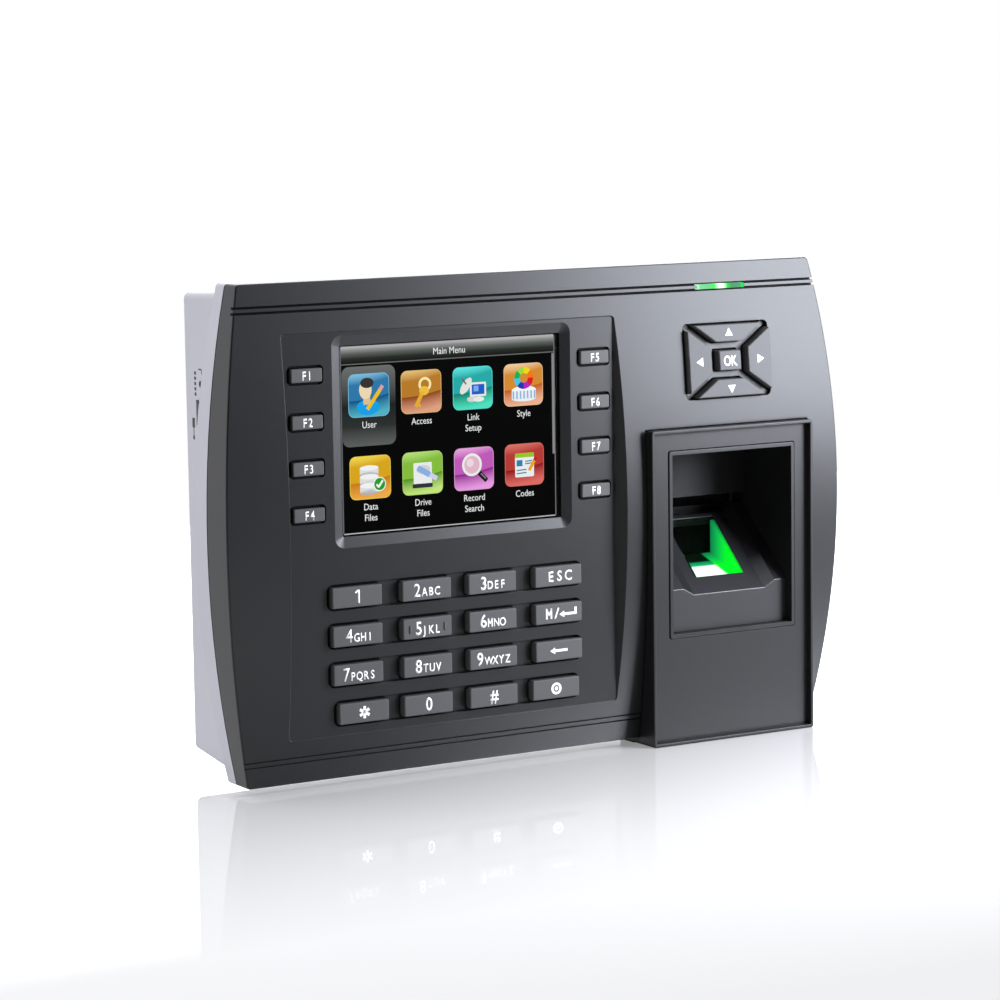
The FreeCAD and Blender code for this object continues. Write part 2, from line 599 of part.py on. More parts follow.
# ---- fingerprint unit -------------------------------------------------------------------------
cx0, cx1, cz0, cz1 = COVER_X + COVER_Z
plate_y = COVER_Y + PLATE_SINK
cover = round_box(cx0, cx1, cz0, cz1, COVER_CORNER_R, COVER_Y, COVER_BACK_Y)
cover = cover.cut(box(cx0 + RIM, cx1 - RIM, COVER_Y - 1, plate_y, cz0 + RIM, cz1 - RIM))
cover = cover.makeFillet(RIM_R, front_edges(cover, COVER_Y))
c = COVER_WALL
cover = cover.cut(box(cx0 + c, cx1 - c, plate_y + PLATE_THICK, COVER_BACK_Y + 1, cz0 + c, cz1 - c))
gx0, gx1, gz0, gz1 = GUIDE_X + GUIDE_Z
g = GUIDE_GAP
cover = cover.cut(round_box(gx0 - g, gx1 + g, gz0 - g, gz1 + g, GUIDE_CORNER_R, -FAR, COVER_BACK_Y))
cover = cover.fuse(box(cx0, cx1, COVER_BACK_Y - 1, TONGUE_Y, cz0, -HALF_H))
save("fingerprint_cover", cover.removeSplitter())

w = GUIDE_WALL
guide_y = plate_y - GUIDE_PROUD
guide = round_box(gx0, gx1, gz0, gz1, GUIDE_CORNER_R, guide_y, GUIDE_BACK_Y + 1.5)
guide = guide.makeFillet(GUIDE_EDGE_R, front_edges(guide, guide_y))
flange_y = plate_y + PLATE_THICK
f = GUIDE_FLANGE
guide = guide.fuse(box(gx0 - f, gx1 + f, flange_y, flange_y + GUIDE_FLANGE_THICK, gz0 - f, gz1 + f))
guide = guide.cut(box(gx0 + w, gx1 - w, -FAR, GUIDE_BACK_Y, gz0 + w, gz1 - w))
guide = guide.cut(box(gx0 + w, gx1 - w, GUIDE_BACK_Y - 1, 0, gz0 + w, -9.0))
guide = guide.fuse(box(gx0 + w, gx1 - w, HOOD_Y, GUIDE_BACK_Y, HOOD_Z, gz1 - w))


def shoulder_z(y):
    return REST_TOP_Z + SLOPE * (y - REST_FRONT_Y)


def channel_z(y):
    return shoulder_z(y) - DIP


# Under the hood the back is open down to the top of the finger rest
end_z = shoulder_z(SLOPE_END_Y)
guide = guide.cut(box(gx0 + w, gx1 - w, GUIDE_BACK_Y - 1, 0, end_z, HOOD_Z))
save("finger_guide", guide.removeSplitter())

thick = REST_THICK
back_y = GUIDE_BACK_Y - REST_GAP_X
rest = prism_x([
    (REST_FRONT_Y, gz0 + w + REST_GAP_X),
    (REST_FRONT_Y, REST_TOP_Z),
    (SLOPE_END_Y, end_z),
    (back_y, end_z),
    (back_y, end_z - DIP - thick),
    (SLOPE_END_Y, end_z - DIP - thick),
    (REST_FRONT_Y + 2, channel_z(REST_FRONT_Y + 2) - thick),
    (REST_FRONT_Y + 2, gz0 + w + REST_GAP_X),
], gx0 + w + REST_GAP_X, gx1 - w - REST_GAP_X)
start = REST_FRONT_Y - 2
zc = channel_z(start)
dip = Part.Face(Part.makePolygon([
    V(DIP_X[0], start, zc),
    V(DIP_X[0] - DIP_LEAN, start, zc + DIP),
    V(DIP_X[0] - DIP_LEAN, start, zc + 30),
    V(DIP_X[1] + DIP_LEAN, start, zc + 30),
    V(DIP_X[1] + DIP_LEAN, start, zc + DIP),
    V(DIP_X[1], start, zc),
    V(DIP_X[0], start, zc),
]))
run = SLOPE_END_Y - start
rest = rest.cut(dip.extrude(V(0, run, run * SLOPE)))
end_dip = [(DIP_X[0], end_z - DIP), (DIP_X[0] - DIP_LEAN, end_z), (DIP_X[0] - DIP_LEAN, end_z + 5),
           (DIP_X[1] + DIP_LEAN, end_z + 5), (DIP_X[1] + DIP_LEAN, end_z), (DIP_X[1], end_z - DIP)]
rest = rest.cut(prism_y(end_dip, SLOPE_END_Y - 0.01, 0))
px0, px1 = PLATEN_X
py0, py1 = PLATEN_Y
rest = rest.cut(box(px0, px1, py0, py1, -30, 20)).removeSplitter()
lip_edges = [e for e in front_edges(rest, REST_FRONT_Y) if min(v.Point.z for v in e.Vertexes) > REST_TOP_Z - DIP - 1]
rest = rest.makeFillet(REST_EDGE_R, lip_edges)
save("finger_rest", rest)

c = SNUG
top0, top1 = channel_z(py0 + c) - 0.1, channel_z(py1 - c) - 0.1
save("sensor_window", prism_x([(py0 + c, top0), (py1 - c, top1), (py1 - c, top1 - 1.1), (py0 + c, top0 - 1.1)],
                              px0 + c, px1 - c))

floor0, floor1 = top0 - 1.4, top0 + 4.1
glow = prism_x([(py0 + c, floor0), (py1 - c, floor1), (py1 - c, floor1 - 1.0), (py0 + c, floor0 - 1.0)],
               px0 + c, px1 - c)
for x in (px0 + c, px1 - c - 1.0):
    glow = glow.fuse(prism_x([(py0 + 1.0, floor0 + 0.1), (py1 - c, floor1 - 0.2), (py1 - c, top1 - 1.3),
                              (py0 + 1.0, top0 - 1.3 + (0.9 * SLOPE))], x, x + 1.0))
save("sensor_light", glow.removeSplitter())

board_y = GUIDE_BACK_Y + 1.5
roof = channel_z(SLOPE_END_Y) - thick - 0.15
low = -38.0
housing = prism_x([(-30.0, low), (board_y, low), (board_y, roof), (SLOPE_END_Y, roof),
                   (-30.0, channel_z(-30.0) - thick - 0.15)], px0 - 5, px1 + 5)
slot = prism_x([(py0, floor0 - 1.05), (py1, floor1 - 1.0), (py1, 20), (py0, 20)], px0, px1)
housing = housing.cut(slot).cut(box(px0 - 1, px1 + 1, -28.0, board_y, -36.5, -27.5))
save("sensor_housing", housing.removeSplitter())
lens_x = (px0 + px1) / 2
save("sensor_camera", fuse([cyl_y(lens_x, -32.0, 3.6, -24.0, -16.5),
                            box(lens_x - 4.2, lens_x + 4.2, -16.5, board_y, -36.2, -27.8)]))
save("sensor_board", box(gx0, gx1, board_y, board_y + BOARD, gz0, -9.5))

# ---- main board and what stands on it ---------------------------------------------------------
main_back = MAIN_FRONT_Y + BOARD
main = box(MAIN_BOARD[0], MAIN_BOARD[1], MAIN_FRONT_Y, main_back, MAIN_BOARD[2], MAIN_BOARD[3])
main = fuse([main, box(-30, -10, main_back, main_back + 1.6, 6, 26), box(-2, 12, main_back, main_back + 1.2, 10, 20)])
for x, z in MAIN_SCREWS:
    main = main.cut(cyl_y(x, z, BOARD_SCREW_R, -FAR, 0))
save("main_board", main)

usb_x0, usb_x1 = USB_X
usb = box(usb_x0, usb_x1, main_back, USB_Y[1], *USB_Z)
usb = usb.cut(box(usb_x0 - 1, usb_x0 + 9.0, USB_Y[0] + 0.7, USB_Y[1] - 0.7, USB_Z[0] + 0.6, USB_Z[1] - 0.6))
tongue = box(usb_x0 + 1.0, usb_x0 + 10, USB_Y[0] + 1.4, USB_Y[1] - 1.4, USB_Z[0] + 0.61, USB_Z[0] + 1.2)
save("usb_socket", usb.fuse(tongue).removeSplitter())

switch = box(-84.0, -80.0, main_back, RESET_Y + 3.0, RESET_Z - 3, RESET_Z + 3)
save("reset_switch", switch.cut(cyl_x(RESET_Y, RESET_Z, RESET_PIN_R + 0.1, -85, -82.2)))
save("reset_plunger", cyl_x(RESET_Y, RESET_Z, RESET_PIN_R, -87.5, -82.2 - RESET_TRAVEL - 0.1))

jack = box(-18.0, -2.0, main_back, -3.4, -40.5, -27.0)
jack = jack.cut(box(-15.9, -4.1, -14.5, 0, -38.5, -30.2)).cut(box(-13.0, -7.0, -14.5, 0, -30.3, -28.4))
save("network_socket", jack)
power = box(4.0, 13.0, main_back, -6.0, -39.0, -28.0)
power = power.cut(cyl_y(8.5, -33.5, 3.2, -15.0, 0)).fuse(cyl_y(8.5, -33.5, 1.0, -15.5, -7.0))
save("power_socket", power)
block = box(-58.0, -27.5, main_back, -6.0, -39.5, -28.0)
for i in range(6):
    x = -58.0 + 30.5 / 12 + i * 30.5 / 6
    block = block.cut(box(x - 1.6, x + 1.6, -14.0, 0, -38.0, -34.8)).cut(cyl_y(x, -31.2, 1.6, -8.0, 0))
save("terminal_block", block)
save("buzzer", cyl_y(-55.0, 20.0, 6.0, main_back, main_back + 5.5))
save("backup_battery", cyl_y(18.0, -8.0, 6.25, main_back, main_back + 2.0))

# ---- screws -----------------------------------------------------------------------------------


def screw(x, z, seat_y, r, length, head_r, head):
    """Pan-head screw driven towards -Y, with a cross recess."""
    body = cyl_y(x, z, r, seat_y - length, seat_y + 0.01).fuse(cyl_y(x, z, head_r, seat_y, seat_y + head))
    s = head_r * 0.55
    for dx, dz in ((s, 0.3), (0.3, s)):
        body = body.cut(box(x - dx, x + dx, seat_y + head * 0.45, seat_y + head + 1, z - dz, z + dz))
    return body.removeSplitter()


seat = PARTING_Y + SEAT_THICK
save("casing_screws", Part.makeCompound([
    screw(x, z, seat, SCREW_R, 7.0, SCREW_HEAD_R, SCREW_HEAD) for x, z in CASE_SCREWS]))
small = []
for x, z in KEYPAD_SCREWS:
    small.append((x, z, KEYPAD_Y + BOARD))
for x, z in NAV_SCREWS:
    small.append((x, z, NAV_BOARD_Y + BOARD))
screws = [screw(x, z, y, BOARD_SCREW_R, BOARD_SCREW_LENGTH, BOARD_SCREW_HEAD_R, BOARD_SCREW_HEAD)
          for x, z, y in small]
for x, z in MAIN_SCREWS:
    turned = screw(x, -z, -MAIN_FRONT_Y, BOARD_SCREW_R, BOARD_SCREW_LENGTH, BOARD_SCREW_HEAD_R, BOARD_SCREW_HEAD)
    turned.rotate(V(0, 0, 0), V(1, 0, 0), 180)
    screws.append(turned)
save("board_screws", Part.makeCompound(screws))
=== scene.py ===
import json
import math

import bpy
from mathutils import Matrix, Vector


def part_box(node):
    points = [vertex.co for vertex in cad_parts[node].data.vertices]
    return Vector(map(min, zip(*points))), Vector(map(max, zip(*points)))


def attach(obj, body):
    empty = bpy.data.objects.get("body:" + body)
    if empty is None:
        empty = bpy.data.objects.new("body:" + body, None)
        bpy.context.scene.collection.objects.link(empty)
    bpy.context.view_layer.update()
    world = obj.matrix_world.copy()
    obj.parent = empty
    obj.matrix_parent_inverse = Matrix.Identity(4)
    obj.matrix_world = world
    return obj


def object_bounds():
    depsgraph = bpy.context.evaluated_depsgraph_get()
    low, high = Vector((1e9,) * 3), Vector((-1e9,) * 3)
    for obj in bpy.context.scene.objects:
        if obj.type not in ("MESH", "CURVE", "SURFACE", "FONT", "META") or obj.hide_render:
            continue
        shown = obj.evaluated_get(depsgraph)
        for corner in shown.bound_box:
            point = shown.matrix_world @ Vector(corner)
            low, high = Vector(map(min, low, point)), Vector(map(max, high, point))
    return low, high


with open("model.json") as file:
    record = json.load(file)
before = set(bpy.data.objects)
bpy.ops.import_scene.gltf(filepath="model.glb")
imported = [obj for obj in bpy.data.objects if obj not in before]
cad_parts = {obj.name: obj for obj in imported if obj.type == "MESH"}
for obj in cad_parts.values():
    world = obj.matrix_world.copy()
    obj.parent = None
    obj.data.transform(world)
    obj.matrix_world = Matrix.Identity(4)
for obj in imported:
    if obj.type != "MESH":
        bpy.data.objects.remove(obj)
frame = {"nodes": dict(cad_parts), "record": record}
cad_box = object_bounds()
bpy.ops.object.select_all(action="DESELECT")

MM = 0.001
EDGE_SOFTNESS = 0.18      # a mould's worn edges, in millimetres: they catch the light

# The camera: where it looks from, in degrees and millimetres
CAMERA_AZIMUTH = -30.95
CAMERA_ELEVATION = 7.13
CAMERA_ROLL = -0.84
CAMERA_DISTANCE = 969.8
CAMERA_LENS = 120.99
AIM_LEFT = 14.16          # aim point, left of the casing's middle
AIM_UP = 4.97             # and above it
AIM_BEHIND = 3.84         # and behind the casing's foremost edge

# Printing on the keys
INK = 0.04                # thickness of the ink
DIGIT_HIGH = 3.9
LETTER_HIGH = 2.5
LETTER_PITCH = 2.1
FUNCTION_HIGH = 2.55
FUNCTION_PITCH = 1.75
WORD_HIGH = 3.1           # whole words and the menu key's letter
WORD_PITCH = 3.0
BOLD = 0.016              # strokes are widened by this share of the letter size
THIN = 0.006              # and by this share where a letter has sharp inner corners
KEY_FLANGE = 1.0          # hidden lip round a key cap
BASELINE = 1.15           # above the lower edge of the key
WORD_LIFT = 0.3           # whole words stand this much above that line
WORD_GAP = 0.45           # between a digit and its letters
ARROW_LONG = 5.6
ARROW_HEAD = 2.2
ARROW_LINE = 0.75
SIGN_ACROSS = 3.1         # arrowhead on a direction key
OK_PITCH = 2.35
OK_WIDE = 0.78
STAR_ARM = 1.75
CAP_SHARE = 0.729         # capital height as a share of the letter size
GLYPH_WIDE = 0.84         # the digits are condensed
LETTER_WIDE = 0.8         # and the small letters a little more
SMALL_M_WIDE = 1.25
SMALL_M_LINE = 0.36

# Printing on the left side
BRACKET_UP = 4.2          # above the reset hole, and as far below it
BRACKET_HALF = 1.1
BRACKET_LEG = 1.3
BRACKET_LINE = 0.4
BLOCKS = 5
BLOCK_PITCH = 1.5
BLOCK_HALF = 0.45

# The picture on the screen, in thin layers in front of the panel
LAYER = 0.03
LAYER_THICK = 0.02
DOT_PITCH = 0.22
SCREEN_BRIGHT = 1.1
SCREEN_TEXT_HIGH = 2.0
SCREEN_TEXT_WIDE = 0.88
SCREEN_TEXT_PITCH = 3.1   # from line to line


def corners(node):
    """Lowest and highest corner of a part, in millimetres."""
    low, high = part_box(node)
    return low / MM, high / MM


# ---- colours and nodes ------------------------------------------------------------------------
def srgb(code):
    """Hex colour as a linear RGBA tuple."""
    channels = [int(code[i:i + 2], 16) / 255 for i in (1, 3, 5)]
    return tuple(c / 12.92 if c <= 0.04045 else ((c + 0.055) / 1.055) ** 2.4 for c in channels) + (1.0,)


def add(tree, kind, settings=None, **links):
    """Add a node. Settings are its own properties or plain socket values, and links feed its inputs: a
    link is named after its input, with _ for a blank, or is _ and the input's number."""
    node = tree.nodes.new(kind)
    for key, value in (settings or {}).items():
        if isinstance(key, int) or key in node.inputs:
            node.inputs[key].default_value = value
        else:
            setattr(node, key, value)
    for key, source in links.items():
        socket = int(key[1:]) if key[0] == "_" else key.replace("_", " ")
        tree.links.new(source, node.inputs[socket])
    return node


def per_mm(size):
    """Scale of a pattern whose grain is this many millimetres."""
    return 1.0 / (size * MM)


def wave_scale(spacing):
    """Scale of wave stripes this many millimetres apart: one turn is 2 pi / 20 of the scale."""
    return 2 * math.pi / 20 * per_mm(spacing)


def between(low, high, to_low=0.0, to_high=1.0):
    """The four limits of a range, by name."""
    return {"From Min": low, "From Max": high, "To Min": to_low, "To Max": to_high}


def two_colours(colour, other):
    """Settings of a colour mix: the first where its factor is 0, the other where it is 1."""
    return {"data_type": "RGBA", 6: srgb(colour), 7: srgb(other)}


def new_material(name):
    """A material with its tree, its shader, and the place on the part in metres."""
    material = bpy.data.materials.new(name)
    material.use_nodes = True
    tree = material.node_tree
    tree.nodes.clear()
    shader = add(tree, "ShaderNodeBsdfPrincipled")
    add(tree, "ShaderNodeOutputMaterial", Surface=shader.outputs[0])
    place = add(tree, "ShaderNodeTexCoord").outputs["Object"]
    return material, tree, shader, place


def set_plain(shader, **values):
    """Set inputs of a shader by name, with _ for a blank."""
    for key, value in values.items():
        shader.inputs[key.replace("_", " ")].default_value = value


def feed(tree, shader, **sources):
    """Link inputs of a shader by name, with _ for a blank."""
    for key, source in sources.items():
        tree.links.new(source, shader.inputs[key.replace("_", " ")])


def paint_ramp(ramp, stops):
    """Colour stops as (place, hex colour), in rising order."""
    elements = ramp.color_ramp.elements
    while len(elements) < len(stops):
        elements.new(1.0)
    for element, (place, colour) in zip(elements, stops):
        element.position = place
        element.color = srgb(colour)


# ---- materials --------------------------------------------------------------------------------
def moulded_abs(name, colour, lighter, roughness, grain_mm=0.3, ior=1.53, shade_within=1.8):
    """ABS moulded on a spark-eroded tool: an even satin sheen, broken up by a grain about as fine as
    can be seen, and a faint cloudiness where the plastic flowed. Grooves and recesses about as deep as
    the last argument (millimetres) get painted shade: they are made matt and painted nearly black."""
    material, tree, shader, place = new_material(name)
    grain = add(tree, "ShaderNodeTexNoise", {"Scale": per_mm(grain_mm), "Detail": 2.0}, Vector=place)
    cloud = add(tree, "ShaderNodeTexNoise", {"Scale": per_mm(45.0), "Detail": 2.0}, Vector=place)
    soft = add(tree, "ShaderNodeBevel", {"samples": 4, "Radius": EDGE_SOFTNESS * MM})
    bump = add(tree, "ShaderNodeBump", {"Strength": 0.3, "Distance": 0.02 * MM},
               Height=grain.outputs["Fac"], Normal=soft.outputs[0])
    open_air = add(tree, "ShaderNodeAmbientOcclusion", {"samples": 6, "Distance": shade_within * MM})
    # Painted shade: where other surfaces close in, this mask makes the surface rough and pulls its colour
    # nearly to black.
    shade_mask = add(tree, "ShaderNodeMapRange", between(0.35, 0.8, 1.0, 0.0), Value=open_air.outputs["AO"])
    sheen = add(tree, "ShaderNodeMapRange", between(0.3, 0.7, roughness - 0.04, roughness + 0.04),
                Value=grain.outputs["Fac"])
    dull = add(tree, "ShaderNodeMix", {3: 1.0}, _0=shade_mask.outputs[0], _2=sheen.outputs[0])
    plastic = add(tree, "ShaderNodeMix", two_colours(colour, lighter), _0=cloud.outputs["Fac"])
    # Painted shade: the plastic's colour darkened towards near-black in grooves and recesses.
    dark = add(tree, "ShaderNodeMix", {"data_type": "RGBA", 7: srgb("#020202")}, _0=shade_mask.outputs[0],
               _6=plastic.outputs[2])
    feed(tree, shader, Base_Color=dark.outputs[2], Normal=bump.outputs[0], Roughness=dull.outputs[0])
    set_plain(shader, IOR=ior)
    return material


def pad_print(name, colour, thin):
    """Two-part printing ink: dense and slightly chalky, a touch thinner in places, with a soft sheen."""
    material, tree, shader, place = new_material(name)
    speck = add(tree, "ShaderNodeTexNoise", {"Scale": per_mm(0.2), "Detail": 2.0}, Vector=place)
    chalk = add(tree, "ShaderNodeMapRange", between(0.3, 0.7, 0.45, 0.6), Value=speck.outputs["Fac"])
    ink = add(tree, "ShaderNodeMix", two_colours(colour, thin), _0=speck.outputs["Fac"])
    feed(tree, shader, Roughness=chalk.outputs[0], Base_Color=ink.outputs[2])
    return material


def clear_polycarbonate():
    """Hard-coated clear sheet: sharp reflections with a trace of waviness."""
    material, tree, shader, place = new_material("hard_coated_polycarbonate")
    wave = add(tree, "ShaderNodeTexNoise", {"Scale": per_mm(12.0), "Detail": 2.0}, Vector=place)
    bump = add(tree, "ShaderNodeBump", {"Strength": 0.04, "Distance": 0.05 * MM}, Height=wave.outputs["Fac"])
    feed(tree, shader, Normal=bump.outputs[0])
    set_plain(shader, Base_Color=srgb("#fbfdfd"), Transmission_Weight=1.0, Roughness=0.0, IOR=1.49)
    return material


def sensor_glass():
    """Polished optical glass over the finger sensor, coated against reflections, with faint smears left
    by fingertips."""
    material, tree, shader, place = new_material("polished_sensor_glass")
    smear = add(tree, "ShaderNodeTexNoise", {"Scale": per_mm(1.6), "Detail": 4.0}, Vector=place)
    haze = add(tree, "ShaderNodeMapRange", between(0.5, 0.75, 0.0, 0.06), Value=smear.outputs["Fac"])
    feed(tree, shader, Roughness=haze.outputs[0])
    set_plain(shader, Base_Color=srgb("#f4fff7"), Transmission_Weight=1.0, IOR=1.5, Specular_IOR_Level=0.05)
    return material


def dark_panel_glass():
    """The screen panel behind its picture: near-black polariser film on glass, glossy and even."""
    material, tree, shader, place = new_material("lcd_polariser_film")
    film = add(tree, "ShaderNodeTexNoise", {"Scale": per_mm(8.0), "Detail": 2.0}, Vector=place)
    tone = add(tree, "ShaderNodeMix", two_colours("#060607", "#0a0a0b"), _0=film.outputs["Fac"])
    feed(tree, shader, Base_Color=tone.outputs[2])
    set_plain(shader, Roughness=0.2, Specular_IOR_Level=0.1)
    return material


def sheet_steel(name, colour, lighter, roughness, spacing_mm):
    """Metal sheet with the drawn lines of the rolling mill, which spread the highlight one way."""
    material, tree, shader, place = new_material(name)
    lines = add(tree, "ShaderNodeTexWave", {"Scale": wave_scale(spacing_mm), "bands_direction": "Z"},
                Vector=place)
    patch = add(tree, "ShaderNodeTexNoise", {"Scale": per_mm(3.0), "Detail": 2.0}, Vector=place)
    drawn = add(tree, "ShaderNodeMapRange", between(0.0, 1.0, roughness - 0.06, roughness + 0.06),
                Value=lines.outputs["Fac"])
    tone = add(tree, "ShaderNodeMix", two_colours(colour, lighter), _0=patch.outputs["Fac"])
    feed(tree, shader, Base_Color=tone.outputs[2], Roughness=drawn.outputs[0])
    set_plain(shader, Metallic=1.0)
    return material


def silicone_rubber():
    """Moulded silicone mat: soft dull surface that picks up dust as pale specks."""
    material, tree, shader, place = new_material("moulded_silicone_rubber")
    dust = add(tree, "ShaderNodeTexNoise", {"Scale": per_mm(0.5), "Detail": 6.0}, Vector=place)
    speck = add(tree, "ShaderNodeMapRange", between(0.55, 0.75), Value=dust.outputs["Fac"])
    tone = add(tree, "ShaderNodeMix", two_colours("#6a6c70", "#85878b"), _0=speck.outputs[0])
    feed(tree, shader, Base_Color=tone.outputs[2])
    set_plain(shader, Roughness=0.75)
    return material


def solder_mask():
    """Green solder mask on glass-fibre board: copper tracks show as slightly lighter, raised lines."""
    material, tree, shader, place = new_material("green_solder_mask")
    cells = add(tree, "ShaderNodeTexVoronoi", {"Scale": per_mm(4.0), "distance": "MANHATTAN",
                                               "feature": "DISTANCE_TO_EDGE"}, Vector=place)
    track = add(tree, "ShaderNodeMapRange", between(0.04, 0.09, 1.0, 0.0), Value=cells.outputs["Distance"])
    bump = add(tree, "ShaderNodeBump", {"Strength": 0.5, "Distance": 0.035 * MM}, Height=track.outputs[0])
    tone = add(tree, "ShaderNodeMix", two_colours("#0b4a28", "#1d7a45"), _0=track.outputs[0])
    feed(tree, shader, Base_Color=tone.outputs[2], Normal=bump.outputs[0])
    set_plain(shader, Roughness=0.32)
    return material


def lit_dots(name, colour):
    """A colour shown by the screen: light of its own, with the dark lines between rows of dots."""
    material, tree, shader, place = new_material(name)
    rows = add(tree, "ShaderNodeTexWave", {"Scale": wave_scale(DOT_PITCH), "bands_direction": "Z"},
               Vector=place)
    dim = "#" + "".join(f"{int(int(colour[i:i + 2], 16) * 0.93):02x}" for i in (1, 3, 5))
    light = add(tree, "ShaderNodeMix", two_colours(colour, dim), _0=rows.outputs["Fac"])
    feed(tree, shader, Emission_Color=light.outputs[2])
    set_plain(shader, Base_Color=srgb("#000000"), Specular_IOR_Level=0.0, Emission_Strength=SCREEN_BRIGHT)
    return material


def lit_ramp(name, low, high, stops):
    """Screen colours that run from one height to another (millimetres)."""
    material, tree, shader, place = new_material(name)
    parts = add(tree, "ShaderNodeSeparateXYZ", Vector=place)
    rise = add(tree, "ShaderNodeMapRange", between(low * MM, high * MM), Value=parts.outputs[2])
    ramp = add(tree, "ShaderNodeValToRGB", _0=rise.outputs[0])
    paint_ramp(ramp, stops)
    feed(tree, shader, Emission_Color=ramp.outputs[0])
    set_plain(shader, Base_Color=srgb("#000000"), Specular_IOR_Level=0.0, Emission_Strength=SCREEN_BRIGHT)
    return material


def icon_tile(name, x0, z0, wide, high, shades):
    """A glossy icon tile: pale at the top, a bright sweep that ends on a curve, deep just below it and
    glowing again at the foot. Shades are foot, deep, middle and top."""
    foot, deep, middle, top = shades
    material, tree, shader, place = new_material(name)
    parts = add(tree, "ShaderNodeSeparateXYZ", Vector=place)
    across = add(tree, "ShaderNodeMapRange", between(x0 * MM, (x0 + wide) * MM), Value=parts.outputs[0])
    rise = add(tree, "ShaderNodeMapRange", between(z0 * MM, (z0 + high) * MM), Value=parts.outputs[2])
    sweep = add(tree, "ShaderNodeMath", {"operation": "POWER", 1: 2.0}, _0=across.outputs[0])
    lift = add(tree, "ShaderNodeMath", {"operation": "MULTIPLY", 1: -0.14}, _0=sweep.outputs[0])
    level = add(tree, "ShaderNodeMath", {"operation": "ADD"}, _0=rise.outputs[0], _1=lift.outputs[0])
    ramp = add(tree, "ShaderNodeValToRGB", _0=level.outputs[0])
    paint_ramp(ramp, ((0.0, foot), (0.37, deep), (0.385, middle), (0.75, middle), (1.0, top)))
    feed(tree, shader, Emission_Color=ramp.outputs[0])
    set_plain(shader, Base_Color=srgb("#000000"), Specular_IOR_Level=0.0, Emission_Strength=SCREEN_BRIGHT)
    return material


def status_lamp():
    """Clear acrylic light pipe with the lamp behind its middle: white there, green towards the ends, and
    brighter where the ends let the light out."""
    low, high = corners("status_light_pipe")
    material, tree, shader, place = new_material("lit_acrylic_light_pipe")
    parts = add(tree, "ShaderNodeSeparateXYZ", Vector=place)
    along = add(tree, "ShaderNodeMapRange", between(low.x * MM, high.x * MM), Value=parts.outputs[0])
    ramp = add(tree, "ShaderNodeValToRGB", _0=along.outputs[0])
    paint_ramp(ramp, ((0.0, "#b8ffc8"), (0.06, "#7cd498"), (0.24, "#74cc90"), (0.36, "#3cf058"),
                      (0.47, "#ffffff"), (0.55, "#ffffff"), (0.64, "#24e040"), (0.74, "#54906c"),
                      (0.92, "#5c9878"), (0.95, "#2cdc58"), (1.0, "#1cc848")))
    haze = add(tree, "ShaderNodeTexNoise", {"Scale": per_mm(2.0), "Detail": 2.0}, Vector=place)
    sheen = add(tree, "ShaderNodeMapRange", between(0.3, 0.7, 0.1, 0.2), Value=haze.outputs["Fac"])
    feed(tree, shader, Emission_Color=ramp.outputs[0], Roughness=sheen.outputs[0])
    set_plain(shader, Base_Color=srgb("#06260f"), Emission_Strength=1.15, Specular_IOR_Level=0.0)
    return material


def sensor_glow():
    """The lit panels under the sensor glass: a white bar over the lamps at the front, green light that
    fades to the back and fills the right-hand wall, and an unlit wall on the left."""
    low, high = corners("sensor_light")
    bar_end = low.x + 0.72 * (high.x - low.x)
    material, tree, shader, place = new_material("lit_sensor_diffuser")
    parts = add(tree, "ShaderNodeSeparateXYZ", Vector=place)
    depth = add(tree, "ShaderNodeMapRange", between(low.y * MM, high.y * MM), Value=parts.outputs[1])
    bar = add(tree, "ShaderNodeValToRGB", _0=depth.outputs[0])
    paint_ramp(bar, ((0.0, "#10e838"), (0.05, "#f4fff4"), (0.5, "#f4fff4"), (0.54, "#12a868"),
                     (0.66, "#0a7a4c"), (0.7, "#020503"), (1.0, "#010201")))
    side = add(tree, "ShaderNodeValToRGB", _0=depth.outputs[0])
    paint_ramp(side, ((0.0, "#06e42a"), (0.5, "#04dc24"), (0.75, "#0ea84a"), (1.0, "#0a6a40")))
    past = add(tree, "ShaderNodeMapRange", between(bar_end * MM, (bar_end + 0.8) * MM),
               Value=parts.outputs[0])
    glow = add(tree, "ShaderNodeMix", {"data_type": "RGBA"}, _0=past.outputs[0], _6=bar.outputs[0],
               _7=side.outputs[0])
    unlit = add(tree, "ShaderNodeMapRange", between((low.x + 1.0) * MM, (low.x + 1.2) * MM, 0.0, 1.5),
                Value=parts.outputs[0])
    feed(tree, shader, Emission_Color=glow.outputs[2], Emission_Strength=unlit.outputs[0])
    set_plain(shader, Base_Color=srgb("#031206"), Roughness=0.5, Specular_IOR_Level=0.1)
    return material


